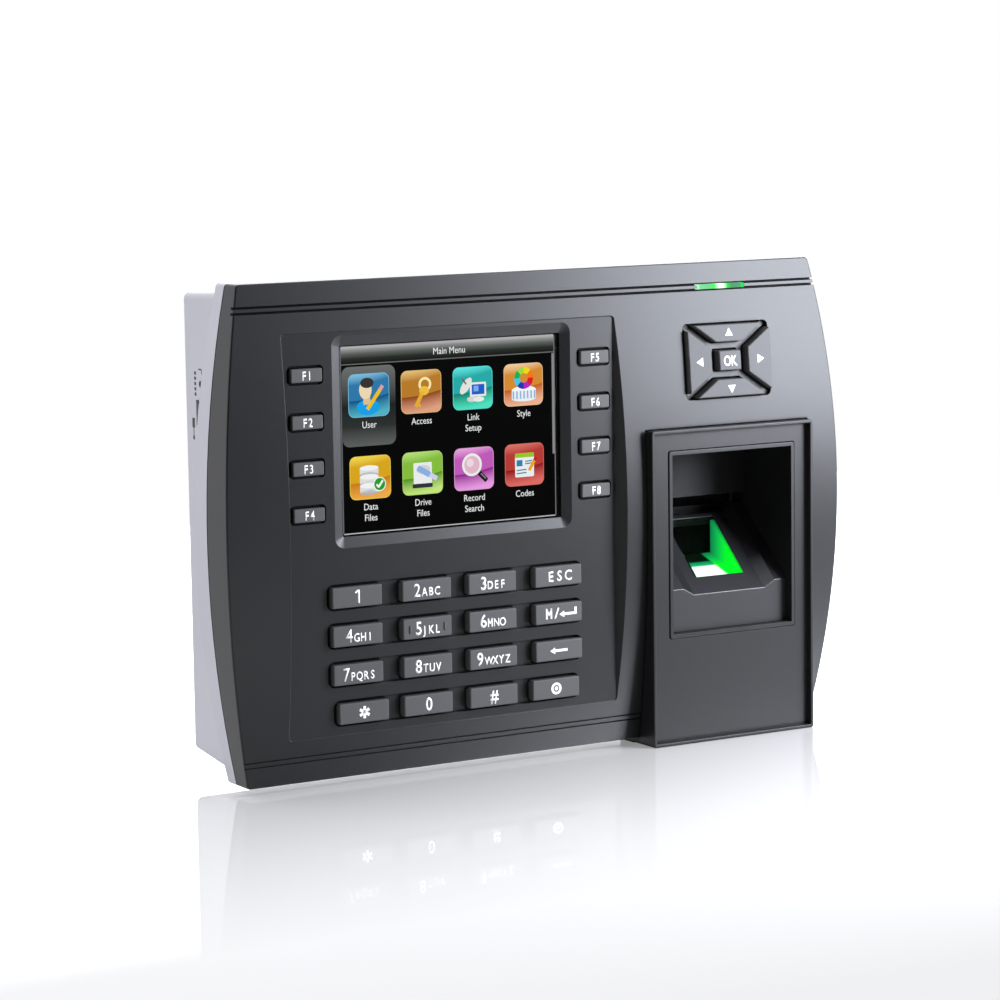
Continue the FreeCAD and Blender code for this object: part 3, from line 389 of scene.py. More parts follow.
def finish_cad_parts():
    """Give every part its finish, by the record's material slot. The parts round the sensor have their
    own: a recess painted near-black with shade, a rest polished by fingertips, and a housing that swallows
    stray light."""
    finishes = {
        "casing_plastic": moulded_abs("charcoal_abs_spark_eroded", "#151517", "#19191b", 0.35, ior=1.42),
        "guide_plastic": moulded_abs("black_abs_fine_grain", "#151517", "#19191b", 0.35, ior=1.42,
                                     shade_within=2.5),
        "shell_plastic": moulded_abs("light_grey_abs_satin", "#a9a9b2", "#b2b2ba", 0.45),
        "key_plastic": moulded_abs("slate_abs_keycaps", "#4a4a4b", "#505051", 0.56, 0.25, ior=1.42),
        "screen_window": clear_polycarbonate(),
        "lcd_glass": dark_panel_glass(),
        "stamped_steel": sheet_steel("tin_plated_sheet_steel", "#b9bbbd", "#c8cacb", 0.3, 0.4),
        "screw_steel": sheet_steel("zinc_plated_screw_steel", "#b4b7bb", "#cfd0cc", 0.28, 0.25),
        "keymat_rubber": silicone_rubber(),
        "circuit_board": solder_mask(),
        "light_pipe": status_lamp(),
        "sensor_glass": sensor_glass(),
        "sensor_light": sensor_glow(),
        "black_plastic": moulded_abs("matt_black_nylon", "#0c0c0d", "#101011", 0.55, 0.4),
        "terminal_plastic": moulded_abs("green_nylon_terminal_block", "#1d5a33", "#22643a", 0.45, 0.5),
    }
    # Near-black light-trap plastic, with painted shade reaching about 6 mm into its hollows.
    light_trap = moulded_abs("black_abs_light_trap", "#040405", "#060607", 0.9, ior=1.2, shade_within=6.0)
    own_finishes = {
        # Painted shade reaching about 24 mm into the finger guide, so nearly all of its inside is painted
        # near-black.
        "finger_guide": moulded_abs("black_abs_painted_shade_recess", "#0e0e10", "#121214", 0.4, ior=1.42,
                                    shade_within=24.0),
        "finger_rest": moulded_abs("charcoal_abs_polished_rest", "#1a1a1d", "#1f1f22", 0.32, ior=1.5,
                                   shade_within=2.5),
        "sensor_housing": light_trap,
        "sensor_camera": light_trap,
    }
    for part in frame["record"]["subparts"]:
        mesh = frame["nodes"][part["node"]].data
        mesh.materials.clear()
        mesh.materials.append(own_finishes.get(part["node"]) or finishes[part["material_slot"]])


# ---- flat work: printing and pictures, in millimetres, facing the front ------------------------
def stand_up(wide, high, x, y, z, turn=0.0):
    """Stretch the new flat shape, turn it in its plane (degrees), stand it up and fix its place."""
    piece = bpy.context.object
    piece.scale = (wide * MM, high * MM, 1.0)
    piece.rotation_euler = (math.pi / 2, -math.radians(turn), 0.0)
    piece.location = (x * MM, y * MM, z * MM)
    bpy.ops.object.transform_apply(location=True, rotation=True, scale=True)
    return piece


def plate(x0, x1, z0, z1, y=0.0, corner=0.0, turn=0.0):
    """Rectangle with rounded corners."""
    bpy.ops.mesh.primitive_plane_add(size=1.0)
    piece = stand_up(x1 - x0, z1 - z0, (x0 + x1) / 2, y, (z0 + z1) / 2, turn)
    if corner:
        bpy.ops.object.mode_set(mode="EDIT")
        bpy.ops.mesh.bevel(offset=corner * MM, segments=5, affect="VERTICES")
        bpy.ops.object.mode_set(mode="OBJECT")
    return piece


def disc(x, z, wide, high, y=0.0, sides=32, turn=0.0):
    bpy.ops.mesh.primitive_circle_add(vertices=sides, radius=0.5, fill_type="NGON")
    return stand_up(wide, high, x, y, z, turn)


def ring(x, z, across, band, y=0.0):
    piece = disc(x, z, across, across, y)
    bpy.ops.object.mode_set(mode="EDIT")
    bpy.ops.mesh.inset(thickness=band * MM)
    bpy.ops.mesh.delete(type="FACE")
    bpy.ops.object.mode_set(mode="OBJECT")
    return piece


def stroke(x0, z0, x1, z1, wide, y=0.0, corner=0.0):
    """A straight bar between two points."""
    length = math.hypot(x1 - x0, z1 - z0)
    middle_x, middle_z = (x0 + x1) / 2, (z0 + z1) / 2
    turn = math.degrees(math.atan2(z1 - z0, x1 - x0))
    return plate(middle_x - length / 2, middle_x + length / 2, middle_z - wide / 2, middle_z + wide / 2,
                 y, corner, turn)


def wedge(x, z, across, turn):
    """Arrowhead: a triangle that points up when turn is 0."""
    return disc(x, z, across, across, sides=3, turn=turn)


def letters(text, high, x, z, y=0.0, bold=0.0, wide=GLYPH_WIDE):
    """A line of lettering with its baseline at z."""
    bpy.ops.object.text_add()
    line = bpy.context.object
    line.data.body = text
    line.data.align_x = "CENTER"
    line.data.offset = bold
    line.data.resolution_u = 3
    bpy.ops.object.convert(target="MESH")
    size = high / CAP_SHARE
    return stand_up(size * wide, size, x, y, z)


def width_of(piece):
    return piece.dimensions.x / MM


def shift(piece, dx):
    """Slide a piece along X, place kept in its mesh."""
    piece.data.transform(Matrix.Translation((dx * MM, 0, 0)))


def join(name, parts):
    bpy.ops.object.select_all(action="DESELECT")
    for part in parts:
        part.select_set(True)
    bpy.context.view_layer.objects.active = parts[0]
    if len(parts) > 1:
        bpy.ops.object.join()
    piece = bpy.context.object
    piece.name = name
    piece.data.name = name
    return piece


def paint(piece, material):
    piece.data.materials.clear()
    piece.data.materials.append(material)
    return piece


def thicken(piece, thick):
    """Give a flat piece a body, half to each side of its plane."""
    bpy.context.view_layer.objects.active = piece
    wall = piece.modifiers.new("body", "SOLIDIFY")
    wall.thickness = thick * MM
    wall.offset = 0.0
    bpy.ops.object.modifier_apply(modifier="body")


def lay_on(piece, node):
    """Press a flat piece onto the front of a part."""
    part = frame["nodes"][node]
    for vertex in piece.data.vertices:
        start = Vector((vertex.co.x, -1.0, vertex.co.z))
        hit, point, _, _ = part.ray_cast(start, Vector((0, 1, 0)))
        if hit:
            vertex.co.y = point.y


# ---- key legends ------------------------------------------------------------------------------
def spread(parts, gap, x):
    """Set pieces side by side, with their common middle at x."""
    total = sum(width_of(p) for p in parts) + gap * (len(parts) - 1)
    at = x - total / 2
    for part in parts:
        low = min(v.co.x for v in part.data.vertices) / MM
        shift(part, at - low)
        at += width_of(part) + gap


def letter_m(x, base, wide, high, line):
    """A capital M of four strokes, which stays open when it is narrow."""
    left, right, top = x - wide / 2, x + wide / 2, base + high
    notch = base + 0.35 * high
    shoulder, slant = top - line / 2, 0.8 * line
    strokes = [stroke(left, base, left, top, line), stroke(right, base, right, top, line),
               stroke(left, shoulder, x, notch, slant), stroke(x, notch, right, shoulder, slant)]
    return join("m", strokes)


def spaced(text, high, x, base, pitch, wide=LETTER_WIDE):
    """Bold letters set out at an even pitch, with their common middle at x."""
    start = x - pitch * (len(text) - 1) / 2
    parts = []
    for i, letter in enumerate(text):
        at = start + pitch * i
        if letter == "M":
            parts.append(letter_m(at, base, SMALL_M_WIDE, high, SMALL_M_LINE))
        else:
            parts.append(letters(letter, high, at, base, bold=THIN if letter in "NW" else BOLD, wide=wide))
    return parts


def key_words(digit, word, x, base):
    """A large digit and the small letters after it. The 1 gets a flag."""
    parts = [letters(digit, DIGIT_HIGH, x, base, bold=THIN if digit in "247" else BOLD)]
    if digit == "1":
        top = base + DIGIT_HIGH
        parts = [join("one", parts + [stroke(x - 1.05, top - 1.0, x - 0.1, top - 0.2, 0.5)])]
    if word:
        parts.append(join("word", spaced(word, LETTER_HIGH, x, base, LETTER_PITCH)))
    spread(parts, WORD_GAP, x)
    return parts


def arrow_left(x, z):
    """Arrow of the step-back and menu keys."""
    tip, end = x - ARROW_LONG / 2, x + ARROW_LONG / 2
    return [wedge(tip + 0.75, z, ARROW_HEAD, 90), stroke(tip + 1.0, z, end, z, ARROW_LINE)]


def legend_marks(name, x, z, base):
    """The shapes printed on one key of the number block."""
    words = {
        "key_1": ("1", ""), "key_2": ("2", "ABC"), "key_3": ("3", "DEF"),
        "key_4": ("4", "GHI"), "key_5": ("5", "JKL"), "key_6": ("6", "MNO"),
        "key_7": ("7", "PQRS"), "key_8": ("8", "TUV"), "key_9": ("9", "WXYZ"),
        "key_0": ("0", ""), "key_hash": ("#", ""),
    }
    if name in words:
        return key_words(*words[name], x, base)
    if name == "key_escape":
        return spaced("ESC", WORD_HIGH, x + 0.3, base + WORD_LIFT, WORD_PITCH, wide=0.9)
    if name == "key_menu":
        foot, corner_x = base + WORD_LIFT, x + 5.75
        return arrow_left(x + 3.3, z - 0.35) + [
            stroke(corner_x, z - 0.7, corner_x, z + 1.4, ARROW_LINE),
            letter_m(x - 3.4, foot, 1.6, WORD_HIGH, 0.48),
            stroke(x - 1.3, foot, x - 0.1, foot + WORD_HIGH, 0.45),
        ]
    if name == "key_back":
        return arrow_left(x, z)
    if name == "key_star":
        turns = [math.radians(a) for a in (90, 30, -30)]
        arms = [(STAR_ARM * math.cos(t), STAR_ARM * math.sin(t)) for t in turns]
        return [stroke(x - dx, z - dz, x + dx, z + dz, 0.85) for dx, dz in arms]
    return [ring(x, z, 3.5, 0.7), disc(x, z, 1.2, 1.2)]


def print_legends():
    """One legend for every key, printed on its cap and riding on it."""
    ink = pad_print("white_pad_printing_ink", "#ffffff", "#f2f2f0")
    turns = {"key_up": 0, "key_left": 90, "key_down": 180, "key_right": -90}
    marks = {}
    for node in frame["nodes"]:
        if not node.startswith("key_"):
            continue
        low, high = corners(node)
        x, z = (low.x + high.x) / 2, (low.z + high.z) / 2
        if node.startswith("key_f"):
            marks[node] = spaced("F" + node[-1], FUNCTION_HIGH, x, z - FUNCTION_HIGH / 2, FUNCTION_PITCH)
        elif node == "key_ok":
            marks[node] = spaced("OK", WORD_HIGH, x, z - WORD_HIGH / 2, OK_PITCH, OK_WIDE)
        elif node in turns:
            marks[node] = [wedge(x, z, SIGN_ACROSS, turns[node])]
        else:
            marks[node] = legend_marks(node, x, z, low.z + KEY_FLANGE + BASELINE)
    for node, parts in marks.items():
        piece = join(node + "_legend", parts)
        lay_on(piece, node)
        thicken(piece, INK)
        paint(piece, ink)
        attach(piece, node)


def lay_on_left_side(piece, node):
    """Turn a flat piece to face left, with its x as the way to the front, and press it onto a part."""
    part = frame["nodes"][node]
    for vertex in piece.data.vertices:
        start = Vector((-1.0, -vertex.co.x, vertex.co.z))
        hit, point, _, _ = part.ray_cast(start, Vector((1, 0, 0)))
        if hit:
            vertex.co = point


def print_side_marks():
    """Small dark marks beside the reset hole and the socket slot."""
    ink = pad_print("black_pad_printing_ink", "#161618", "#202022")
    hole_low, hole_high = corners("reset_plunger")
    front, up = -(hole_low.y + hole_high.y) / 2, (hole_low.z + hole_high.z) / 2
    reset = []
    for side in (-1, 1):                    # a bracket above the hole and one below it
        z = up + side * BRACKET_UP
        reset.append(stroke(front - BRACKET_HALF, z, front + BRACKET_HALF, z, BRACKET_LINE))
        reset.append(stroke(front + 1.0, z, front + 1.0, z - side * BRACKET_LEG, BRACKET_LINE))
    for step in range(BLOCKS):              # a column of blocks behind it
        z = up + 3.0 - BLOCK_PITCH * step
        reset.append(plate(front - 4.2, front - 2.9, z - BLOCK_HALF, z + BLOCK_HALF))
    slot_low, slot_high = corners("usb_socket")
    back = -slot_high.y - 2.6
    plug = [
        plate(back - 0.9, back + 0.9, slot_low.z - 1.2, slot_low.z + 1.6),
        stroke(back, slot_low.z - 1.0, back, slot_low.z - 3.6, 0.5),
        disc(back, slot_low.z - 4.0, 1.3, 1.3),
    ]
    for name, parts in (("reset_mark", reset), ("plug_mark", plug)):
        piece = join(name, parts)
        lay_on_left_side(piece, "rear_shell")
        thicken(piece, INK)
        paint(piece, ink)
        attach(piece, "casing")


# ---- the picture on the screen ----------------------------------------------------------------
LCD_LOW, LCD_HIGH = corners("lcd_panel")
PIC_LEFT, PIC_RIGHT = LCD_LOW.x + 2.2, LCD_HIGH.x - 2.3
PIC_LOW, PIC_TOP = LCD_LOW.z + 2.2, LCD_HIGH.z - 2.1
BAR_HIGH = 4.6
TILE_WIDE, TILE_HIGH = 12.8, 11.9
TILE_PITCH = 17.0
TILE_CORNER = 1.7
TILE_RIM = 0.2            # pale edge round a tile
WORDS_DOWN = 3.3          # baseline of the first line under a tile
SLIDER_WIDE = 0.7
SLIDER_UP = 18.0
HIGHLIGHT_LINE = 0.3           # painted highlight: glowing line where the window's edge meets the picture
TILE_LEFT = PIC_LEFT + 2.3
TILE_ROWS = (PIC_TOP - 19.7, PIC_TOP - 43.0)


def layer_y(level):
    """Plane of a layer of the picture, counted from the panel towards the front."""
    return LCD_LOW.y - LAYER * level


def show(name, parts):
    """Finish a piece of the picture."""
    piece = join(name, parts)
    thicken(piece, LAYER_THICK)
    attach(piece, "casing")


def screen_light(code):
    """The screen's material for one colour, made once."""
    name = "screen_light_" + code[1:]
    return bpy.data.materials.get(name) or lit_dots(name, code)


def person(x, z, y):
    up = y - LAYER
    return [
        paint(disc(x - 0.3, z - 3.4, 7.4, 4.4, y), screen_light("#18a4ee")),
        paint(plate(x - 1.8, x + 0.4, z - 2.6, z + 0.6, up), screen_light("#e8c394")),
        paint(disc(x - 1.1, z + 1.6, 4.0, 5.4, up), screen_light("#f6dfb8")),
        paint(disc(x - 0.6, z + 3.5, 4.3, 2.9, up - LAYER), screen_light("#3b3431")),
        paint(stroke(x - 0.6, z - 4.0, x + 3.6, z + 1.4, 1.1, up - 2 * LAYER), screen_light("#f9c80e")),
        paint(stroke(x + 3.5, z + 1.3, x + 4.4, z + 2.5, 1.1, up - 2 * LAYER), screen_light("#e8a7a5")),
    ]


def door_key(x, z, y):
    up = y - LAYER
    return [
        paint(ring(x + 1.2, z + 2.0, 4.2, 0.75, y), screen_light("#fff1b0")),
        paint(disc(x + 0.9, z + 0.2, 3.2, 2.6, up), screen_light("#f7c443")),
        paint(stroke(x + 0.6, z + 0.2, x - 1.9, z - 4.3, 1.2, up), screen_light("#eeb02e")),
        paint(stroke(x - 1.2, z - 3.6, x - 0.2, z - 4.2, 0.7, y), screen_light("#eeb02e")),
    ]


def dish_and_monitor(x, z, y):
    up = y - LAYER
    return [
        paint(disc(x - 2.3, z + 0.7, 2.5, 5.6, y, turn=-38), screen_light("#eceae6")),
        paint(stroke(x - 3.6, z + 2.9, x - 2.2, z + 1.2, 0.45, up), screen_light("#8d4a44")),
        paint(disc(x - 0.4, z - 3.2, 3.2, 1.6, y), screen_light("#dcdad6")),
        paint(plate(x - 1.0, x + 4.4, z - 2.5, z + 1.6, up, 0.4), screen_light("#f2f2ee")),
        paint(plate(x - 0.4, x + 3.8, z - 1.9, z + 1.0, up - LAYER), screen_light("#1f5fd0")),
        paint(plate(x + 0.2, x + 1.8, z - 1.0, z + 0.6, up - 2 * LAYER), screen_light("#7fb2f2")),
        paint(disc(x + 1.9, z - 3.3, 3.6, 1.5, up), screen_light("#f2f2ee")),
    ]


def colour_wheel(x, z, y):
    shades = ("#f7e018", "#ff7a1a", "#e51c2a", "#b52cc4", "#2836b8", "#3fd0f2", "#14b85a", "#a6e04a")
    up = y - LAYER
    wheel = ring(x + 0.1, z + 1.9, 6.4, 1.8, up)
    for shade in shades:
        wheel.data.materials.append(screen_light(shade))
    for face in wheel.data.polygons:
        dx, dz = face.center.x / MM - x, face.center.z / MM - (z + 1.9)
        share = (math.atan2(dx, dz) / (2 * math.pi)) % 1.0
        face.material_index = int(share * len(shades)) % len(shades)
    ribs = [paint(plate(x - 3.7 + 1.2 * i, x - 3.2 + 1.2 * i, z - 4.1, z - 1.8, up), screen_light("#8fb8dc"))
            for i in range(7)]
    base = [
        paint(disc(x + 0.1, z - 4.0, 8.2, 1.8, y), screen_light("#f4f8fc")),
        paint(plate(x - 4.0, x + 4.2, z - 4.0, z - 1.8, y), screen_light("#f4f8fc")),
        paint(disc(x + 0.1, z - 1.6, 8.2, 2.4, y), screen_light("#ffffff")),
    ]
    return base + ribs + [wheel]


def stacked_drums(x, z, y):
    up = y - LAYER
    parts = []
    for level in range(3):
        foot = z - 4.2 + 2.5 * level
        parts.append(paint(disc(x - 0.4, foot, 6.0, 1.5, y), screen_light("#b9babc")))
        parts.append(paint(plate(x - 3.4, x + 2.6, foot, foot + 1.9, y), screen_light("#e6e6e6")))
        parts.append(paint(disc(x - 0.4, foot + 1.9, 6.0, 1.5, up), screen_light("#fafafa")))
    parts.append(paint(disc(x + 2.9, z - 2.1, 4.1, 4.1, up - LAYER), screen_light("#f6fff4")))
    parts.append(paint(disc(x + 2.9, z - 2.1, 3.5, 3.5, up - 2 * LAYER), screen_light("#27a02c")))
    for a, b, c, d in ((1.9, -2.1, 2.6, -3.0), (2.5, -3.0, 3.9, -1.1)):
        tick = stroke(x + a, z + b, x + c, z + d, 0.6, up - 3 * LAYER)
        parts.append(paint(tick, screen_light("#ffffff")))
    return parts


def memory_drive(x, z, y):
    up = y - LAYER
    return [
        paint(plate(x - 3.0, x + 3.0, z - 3.2, z + 3.0, y, 0.3), screen_light("#f3f4f4")),
        paint(plate(x - 3.4, x + 3.2, z - 4.2, z - 3.0, up, 0.3), screen_light("#30343a")),
        paint(disc(x + 0.2, z + 1.0, 4.6, 2.6, up), screen_light("#d5dadd")),
        paint(stroke(x - 1.7, z + 1.6, x + 2.4, z - 0.7, 1.7, up - LAYER, 0.4), screen_light("#8fb4e8")),
        paint(stroke(x + 2.3, z - 0.6, x + 4.6, z - 1.9, 1.4, up - 2 * LAYER), screen_light("#d9d6f4")),
    ]


def magnifier(x, z, y):
    up = y - LAYER
    return [
        paint(disc(x - 0.7, z + 1.2, 5.4, 5.4, y), screen_light("#e9bcd0")),
        paint(disc(x - 1.3, z + 1.8, 2.4, 2.4, up), screen_light("#f7dfe6")),
        paint(ring(x - 0.7, z + 1.2, 6.6, 0.75, up), screen_light("#f2f4ee")),
        paint(stroke(x + 1.6, z - 1.2, x + 4.2, z - 3.7, 1.4, up, 0.3), screen_light("#17181a")),
        paint(stroke(x + 2.2, z - 1.5, x + 3.9, z - 3.1, 0.35, up - LAYER), screen_light("#8a8a8a")),
    ]


def index_card(x, z, y):
    up = y - LAYER
    rules = [(0.2, 2.6, 0.9), (0.2, 2.6, 0.2), (-2.7, 0.6, -1.6), (-2.7, 0.6, -2.5)]
    lines = [paint(stroke(x + a, z + c, x + b, z + c + 0.15, 0.35, up), screen_light("#4f7f9c"))
             for a, b, c in rules]
    return [
        paint(plate(x - 3.2, x + 3.2, z - 3.6, z + 3.0, y, 0.4), screen_light("#f3f6f6")),
        paint(plate(x - 3.2, x + 3.2, z + 2.1, z + 3.4, up, 0.3), screen_light("#9ecb2e")),
        paint(plate(x - 2.7, x - 0.7, z - 0.4, z + 1.4, up), screen_light("#2b86b8")),
        paint(stroke(x + 1.5, z - 1.8, x + 3.6, z + 1.4, 1.0, up - LAYER), screen_light("#f4a71c")),
        paint(stroke(x + 3.3, z + 1.0, x + 3.9, z + 1.9, 1.0, up - 2 * LAYER), screen_light("#c2202a")),
    ] + lines


def screen_text(text, x, z):
    line = letters(text, SCREEN_TEXT_HIGH, x, z, layer_y(3), wide=SCREEN_TEXT_WIDE)
    return paint(line, screen_light("#f4f4f4"))


def menu_icons():
    """Eight tiles in two rows, each with a plain pictogram and a word or two under it."""
    tiles = (
        ("user", person, ("#4fb0c0", "#0b4f86", "#2f77a8", "#7fc0e0"), ("User",)),
        ("access", door_key, ("#e0a080", "#8f4310", "#b87a2a", "#e8c078"), ("Access",)),
        ("link", dish_and_monitor, ("#4fe0bc", "#0a7f72", "#28a9a6", "#5fe6e2"), ("Link", "Setup")),
        ("style", colour_wheel, ("#f0b090", "#c45a10", "#d88a32", "#f4cfa0"), ("Style",)),
        ("data", stacked_drums, ("#f0a848", "#c87a10", "#d8a41c", "#f4d850"), ("Data", "Files")),
        ("drive", memory_drive, ("#c4e47c", "#4c8f1c", "#84bc3c", "#b8e07c"), ("Drive", "Files")),
        ("search", magnifier, ("#e89ae0", "#8f1c8c", "#bf5ab8", "#e8a4dc"), ("Record", "Search")),
        ("code", index_card, ("#e06a64", "#8f0f14", "#b83a36", "#dc7468"), ("Codes",)),
    )
    for number, (name, pictogram, shades, words) in enumerate(tiles):
        x0 = TILE_LEFT + TILE_PITCH * (number % 4)
        z0 = TILE_ROWS[number // 4]
        x, z = x0 + TILE_WIDE / 2, z0 + TILE_HIGH / 2
        tile = plate(x0, x0 + TILE_WIDE, z0, z0 + TILE_HIGH, layer_y(3), TILE_CORNER)
        paint(tile, icon_tile("screen_tile_" + name, x0, z0, TILE_WIDE, TILE_HIGH, shades))
        rim = plate(x0 - TILE_RIM, x0 + TILE_WIDE + TILE_RIM, z0 - TILE_RIM, z0 + TILE_HIGH + TILE_RIM,
                    layer_y(2.5), TILE_CORNER + TILE_RIM)
        show("screen_tile_" + name, [tile, paint(rim, screen_light(shades[3]))])
        show("screen_pictogram_" + name, pictogram(x, z, layer_y(4)))
        lines = [screen_text(word, x, z0 - WORDS_DOWN - SCREEN_TEXT_PITCH * row)
                 for row, word in enumerate(words)]
        show("screen_words_" + name, lines)


def glow_plate(name, x0, x1, z0, z1, level, stops, corner=0.0):
    """A plate of the picture whose colours run from its foot to its top."""
    piece = plate(x0, x1, z0, z1, layer_y(level), corner)
    show(name, [paint(piece, lit_ramp(name + "_light", z0, z1, stops))])


def screen_picture():
    """The menu on the screen: dark ground, title bar, chosen tile, slider and icons, and thin glowing lines
    along its edges as painted highlights of the window's edge.
    """
    bar_low = PIC_TOP - BAR_HIGH
    glow_plate("screen_background", PIC_LEFT, PIC_RIGHT, PIC_LOW, PIC_TOP, 1,
               ((0.0, "#020202"), (1.0, "#050505")))
    glow_plate("screen_title_bar", PIC_LEFT, PIC_RIGHT, bar_low, PIC_TOP, 2,
               ((0.0, "#141614"), (0.3, "#2a2d2a"), (0.6, "#5a5f5a"), (0.85, "#8f908e"), (1.0, "#b9b4b8")))
    rule = plate(PIC_LEFT, PIC_RIGHT, bar_low - 0.35, bar_low - 0.05, layer_y(2))
    show("screen_title_rule", [paint(rule, screen_light("#6c6e6c"))])
    show("screen_title_words", [screen_text("Main Menu", (PIC_LEFT + PIC_RIGHT) / 2, bar_low + 1.2)])
    glow_plate("screen_chosen_tile", PIC_LEFT + 0.1, PIC_LEFT + 17.3, TILE_ROWS[0] - 8.4,
               TILE_ROWS[0] + TILE_HIGH + 2.3, 2,
               ((0.0, "#5c605e"), (0.25, "#2c302f"), (0.5, "#1e2223"), (1.0, "#6a6e6c")), 2.2)
    slider = plate(PIC_RIGHT - SLIDER_WIDE, PIC_RIGHT, PIC_LOW + SLIDER_UP, bar_low - 0.6, layer_y(2))
    show("screen_slider", [paint(slider, screen_light("#8e8c90"))])
    # Painted highlights where the window's edge catches the light: glowing lines, pale at the foot and top,
    # dimmer at the sides.
    edges = ((PIC_LEFT, PIC_RIGHT, PIC_LOW - HIGHLIGHT_LINE, PIC_LOW, "#c4c4c8"),
             (PIC_LEFT, PIC_RIGHT, PIC_TOP, PIC_TOP + HIGHLIGHT_LINE, "#b4b2b6"),
             (PIC_LEFT - HIGHLIGHT_LINE, PIC_LEFT, PIC_LOW, PIC_TOP, "#6e6e72"),
             (PIC_RIGHT, PIC_RIGHT + HIGHLIGHT_LINE, PIC_LOW, PIC_TOP, "#77777a"))
    show("screen_edge_highlights", [paint(plate(x0, x1, z0, z1, layer_y(1)), screen_light(code))
                               for x0, x1, z0, z1, code in edges])
    menu_icons()


# ---- floor, light and camera ------------------------------------------------------------------
FLOOR_SIZE = 1.0                         # metres
FLOOR_GAP = 0.02                         # clearance under the object, in millimetres
FLOOR_MIRROR = 0.46                      # share of mirror image next to the object
FLOOR_MIRROR_NEAR = -0.03                # in metres: full share up to here,
FLOOR_MIRROR_FAR = -0.19                 # and none from here to the front
FLOOR_GLOW = 0.42
MIRRORED_BACKDROP = (0.51, 0.85, 0.12)   # the way to the backdrop that the floor mirrors
LEFT_BEHIND = (-0.86, 0.5, 0.1)          # the way to the pale wall that lights the left side


def studio_floor():
    """A pale polished table top. Its mirror image is clear near the object and fades out to the front."""
    bpy.ops.mesh.primitive_plane_add(size=FLOOR_SIZE, location=(0, 0, cad_box[0].z - FLOOR_GAP * MM))
    floor = bpy.context.object
    floor.name = "floor"
    material = bpy.data.materials.new("polished_white_floor")
    material.use_nodes = True
    tree = material.node_tree
    tree.nodes.clear()
    place = add(tree, "ShaderNodeTexCoord").outputs["Object"]
    depth = add(tree, "ShaderNodeSeparateXYZ", Vector=place).outputs[1]
    share = add(tree, "ShaderNodeMapRange", between(FLOOR_MIRROR_FAR, FLOOR_MIRROR_NEAR, 0.0, FLOOR_MIRROR),
                Value=depth)
    matt = add(tree, "ShaderNodeBsdfDiffuse", {"Color": srgb("#a8a8a9")})
    glow = add(tree, "ShaderNodeEmission", {"Color": srgb("#ffffff"), "Strength": FLOOR_GLOW})
    pale = add(tree, "ShaderNodeAddShader", _0=matt.outputs[0], _1=glow.outputs[0])
    gloss = add(tree, "ShaderNodeBsdfGlossy", {"Color": srgb("#ffffff"), "Roughness": 0.015})
    mixed = add(tree, "ShaderNodeMixShader", _0=share.outputs[0], _1=pale.outputs[0], _2=gloss.outputs[0])
    add(tree, "ShaderNodeOutputMaterial", Surface=mixed.outputs[0])
    paint(floor, material)


def softbox(name, place, target, wide, high, power, tint):
    """Area light, in millimetres, facing its target."""
    lamp = bpy.data.lights.new(name, "AREA")
    lamp.shape = "RECTANGLE"
    lamp.size = wide * MM
    lamp.size_y = high * MM
    lamp.energy = power
    lamp.color = srgb(tint)[:3]
    light = bpy.data.objects.new(name, lamp)
    bpy.context.scene.collection.objects.link(light)
    here, there = Vector(place) * MM, Vector(target) * MM
    light.location = here
    light.rotation_euler = (there - here).to_track_quat("-Z", "Y").to_euler()
    light.visible_camera = False


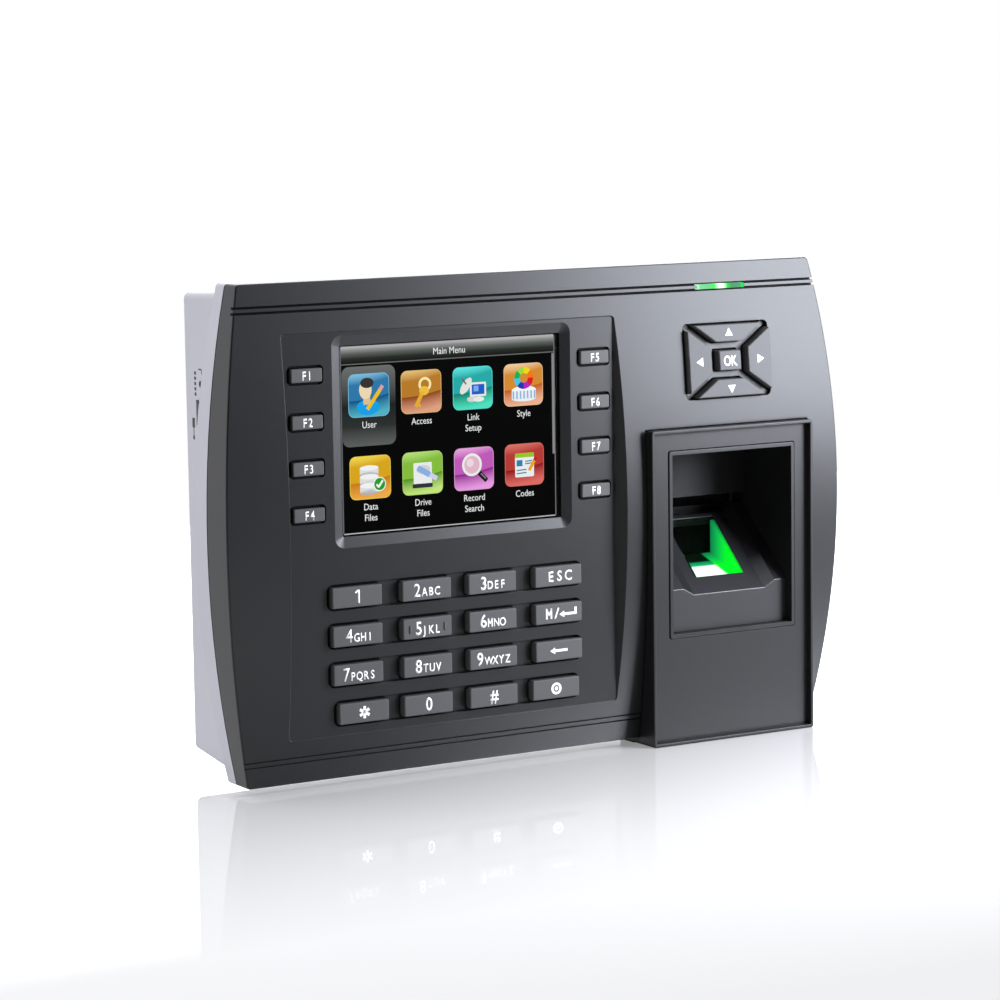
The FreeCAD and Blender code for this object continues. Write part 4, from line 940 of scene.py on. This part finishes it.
def studio_world():
    """White backdrop behind the object, brightest where the table top mirrors it and darker straight
    behind, and a dim room in front; the camera itself sees white."""
    world = bpy.data.worlds.new("studio")
    bpy.context.scene.world = world
    world.use_nodes = True
    tree = world.node_tree
    tree.nodes.clear()
    direction = add(tree, "ShaderNodeTexCoord").outputs["Generated"]
    back = add(tree, "ShaderNodeSeparateXYZ", Vector=direction).outputs[1]
    ahead = add(tree, "ShaderNodeVectorMath", {"operation": "DOT_PRODUCT", 1: MIRRORED_BACKDROP},
                _0=direction)
    aside = add(tree, "ShaderNodeVectorMath", {"operation": "DOT_PRODUCT", 1: LEFT_BEHIND}, _0=direction)
    shares = (
        (aside.outputs["Value"], between(0.2, 0.8, 0.0, 0.75)),
        (back, between(-0.1, 0.5, 0.03, 1.8)),
        (back, between(0.5, 0.85, 0.0, -1.4)),
        (ahead.outputs["Value"], between(0.85, 0.95, 0.0, 3.4)),
    )
    strength, *others = [add(tree, "ShaderNodeMapRange", limits, Value=value).outputs[0]
                         for value, limits in shares]
    for other in others:
        strength = add(tree, "ShaderNodeMath", {"operation": "ADD"}, _0=strength, _1=other).outputs[0]
    room = add(tree, "ShaderNodeBackground", {"Color": srgb("#f4f5f8")}, Strength=strength)
    seen = add(tree, "ShaderNodeBackground", {"Color": srgb("#ffffff"), "Strength": 1.0})
    direct = add(tree, "ShaderNodeLightPath").outputs["Is Camera Ray"]
    mixed = add(tree, "ShaderNodeMixShader", _0=direct, _1=room.outputs[0], _2=seen.outputs[0])
    add(tree, "ShaderNodeOutputWorld", Surface=mixed.outputs[0])


def studio_lights():
    softbox("top_softbox", (0, 40, 620), (0, -20, 0), 900, 600, 4.0, "#ffffff")
    softbox("right_softbox", (360, -290, 180), (360, 0, 180), 350, 360, 9.5, "#e9eef8")


def camera():
    lens = bpy.data.cameras.new("camera")
    lens.lens = CAMERA_LENS
    lens.sensor_width = 36.0
    lens.clip_start = 0.05
    lens.clip_end = 50.0
    eye = bpy.data.objects.new("camera", lens)
    bpy.context.scene.collection.objects.link(eye)
    front = corners("front_casing")[0].y
    aim = Vector((-AIM_LEFT, front + AIM_BEHIND, AIM_UP)) * MM
    turn, rise, roll = (math.radians(v) for v in (CAMERA_AZIMUTH, CAMERA_ELEVATION, CAMERA_ROLL))
    back = Vector((math.sin(turn) * math.cos(rise), -math.cos(turn) * math.cos(rise), math.sin(rise)))
    right = Vector((math.cos(turn), math.sin(turn), 0.0))
    up = back.cross(right)
    across = right * math.cos(roll) + up * math.sin(roll)
    upward = up * math.cos(roll) - right * math.sin(roll)
    place = aim + back * CAMERA_DISTANCE * MM
    eye.matrix_world = Matrix((across, upward, back)).transposed().to_4x4()
    eye.location = place
    bpy.context.scene.camera = eye


finish_cad_parts()
print_legends()
print_side_marks()
screen_picture()
studio_floor()
studio_world()
studio_lights()
camera()
bpy.context.scene.view_settings.view_transform = "Standard"
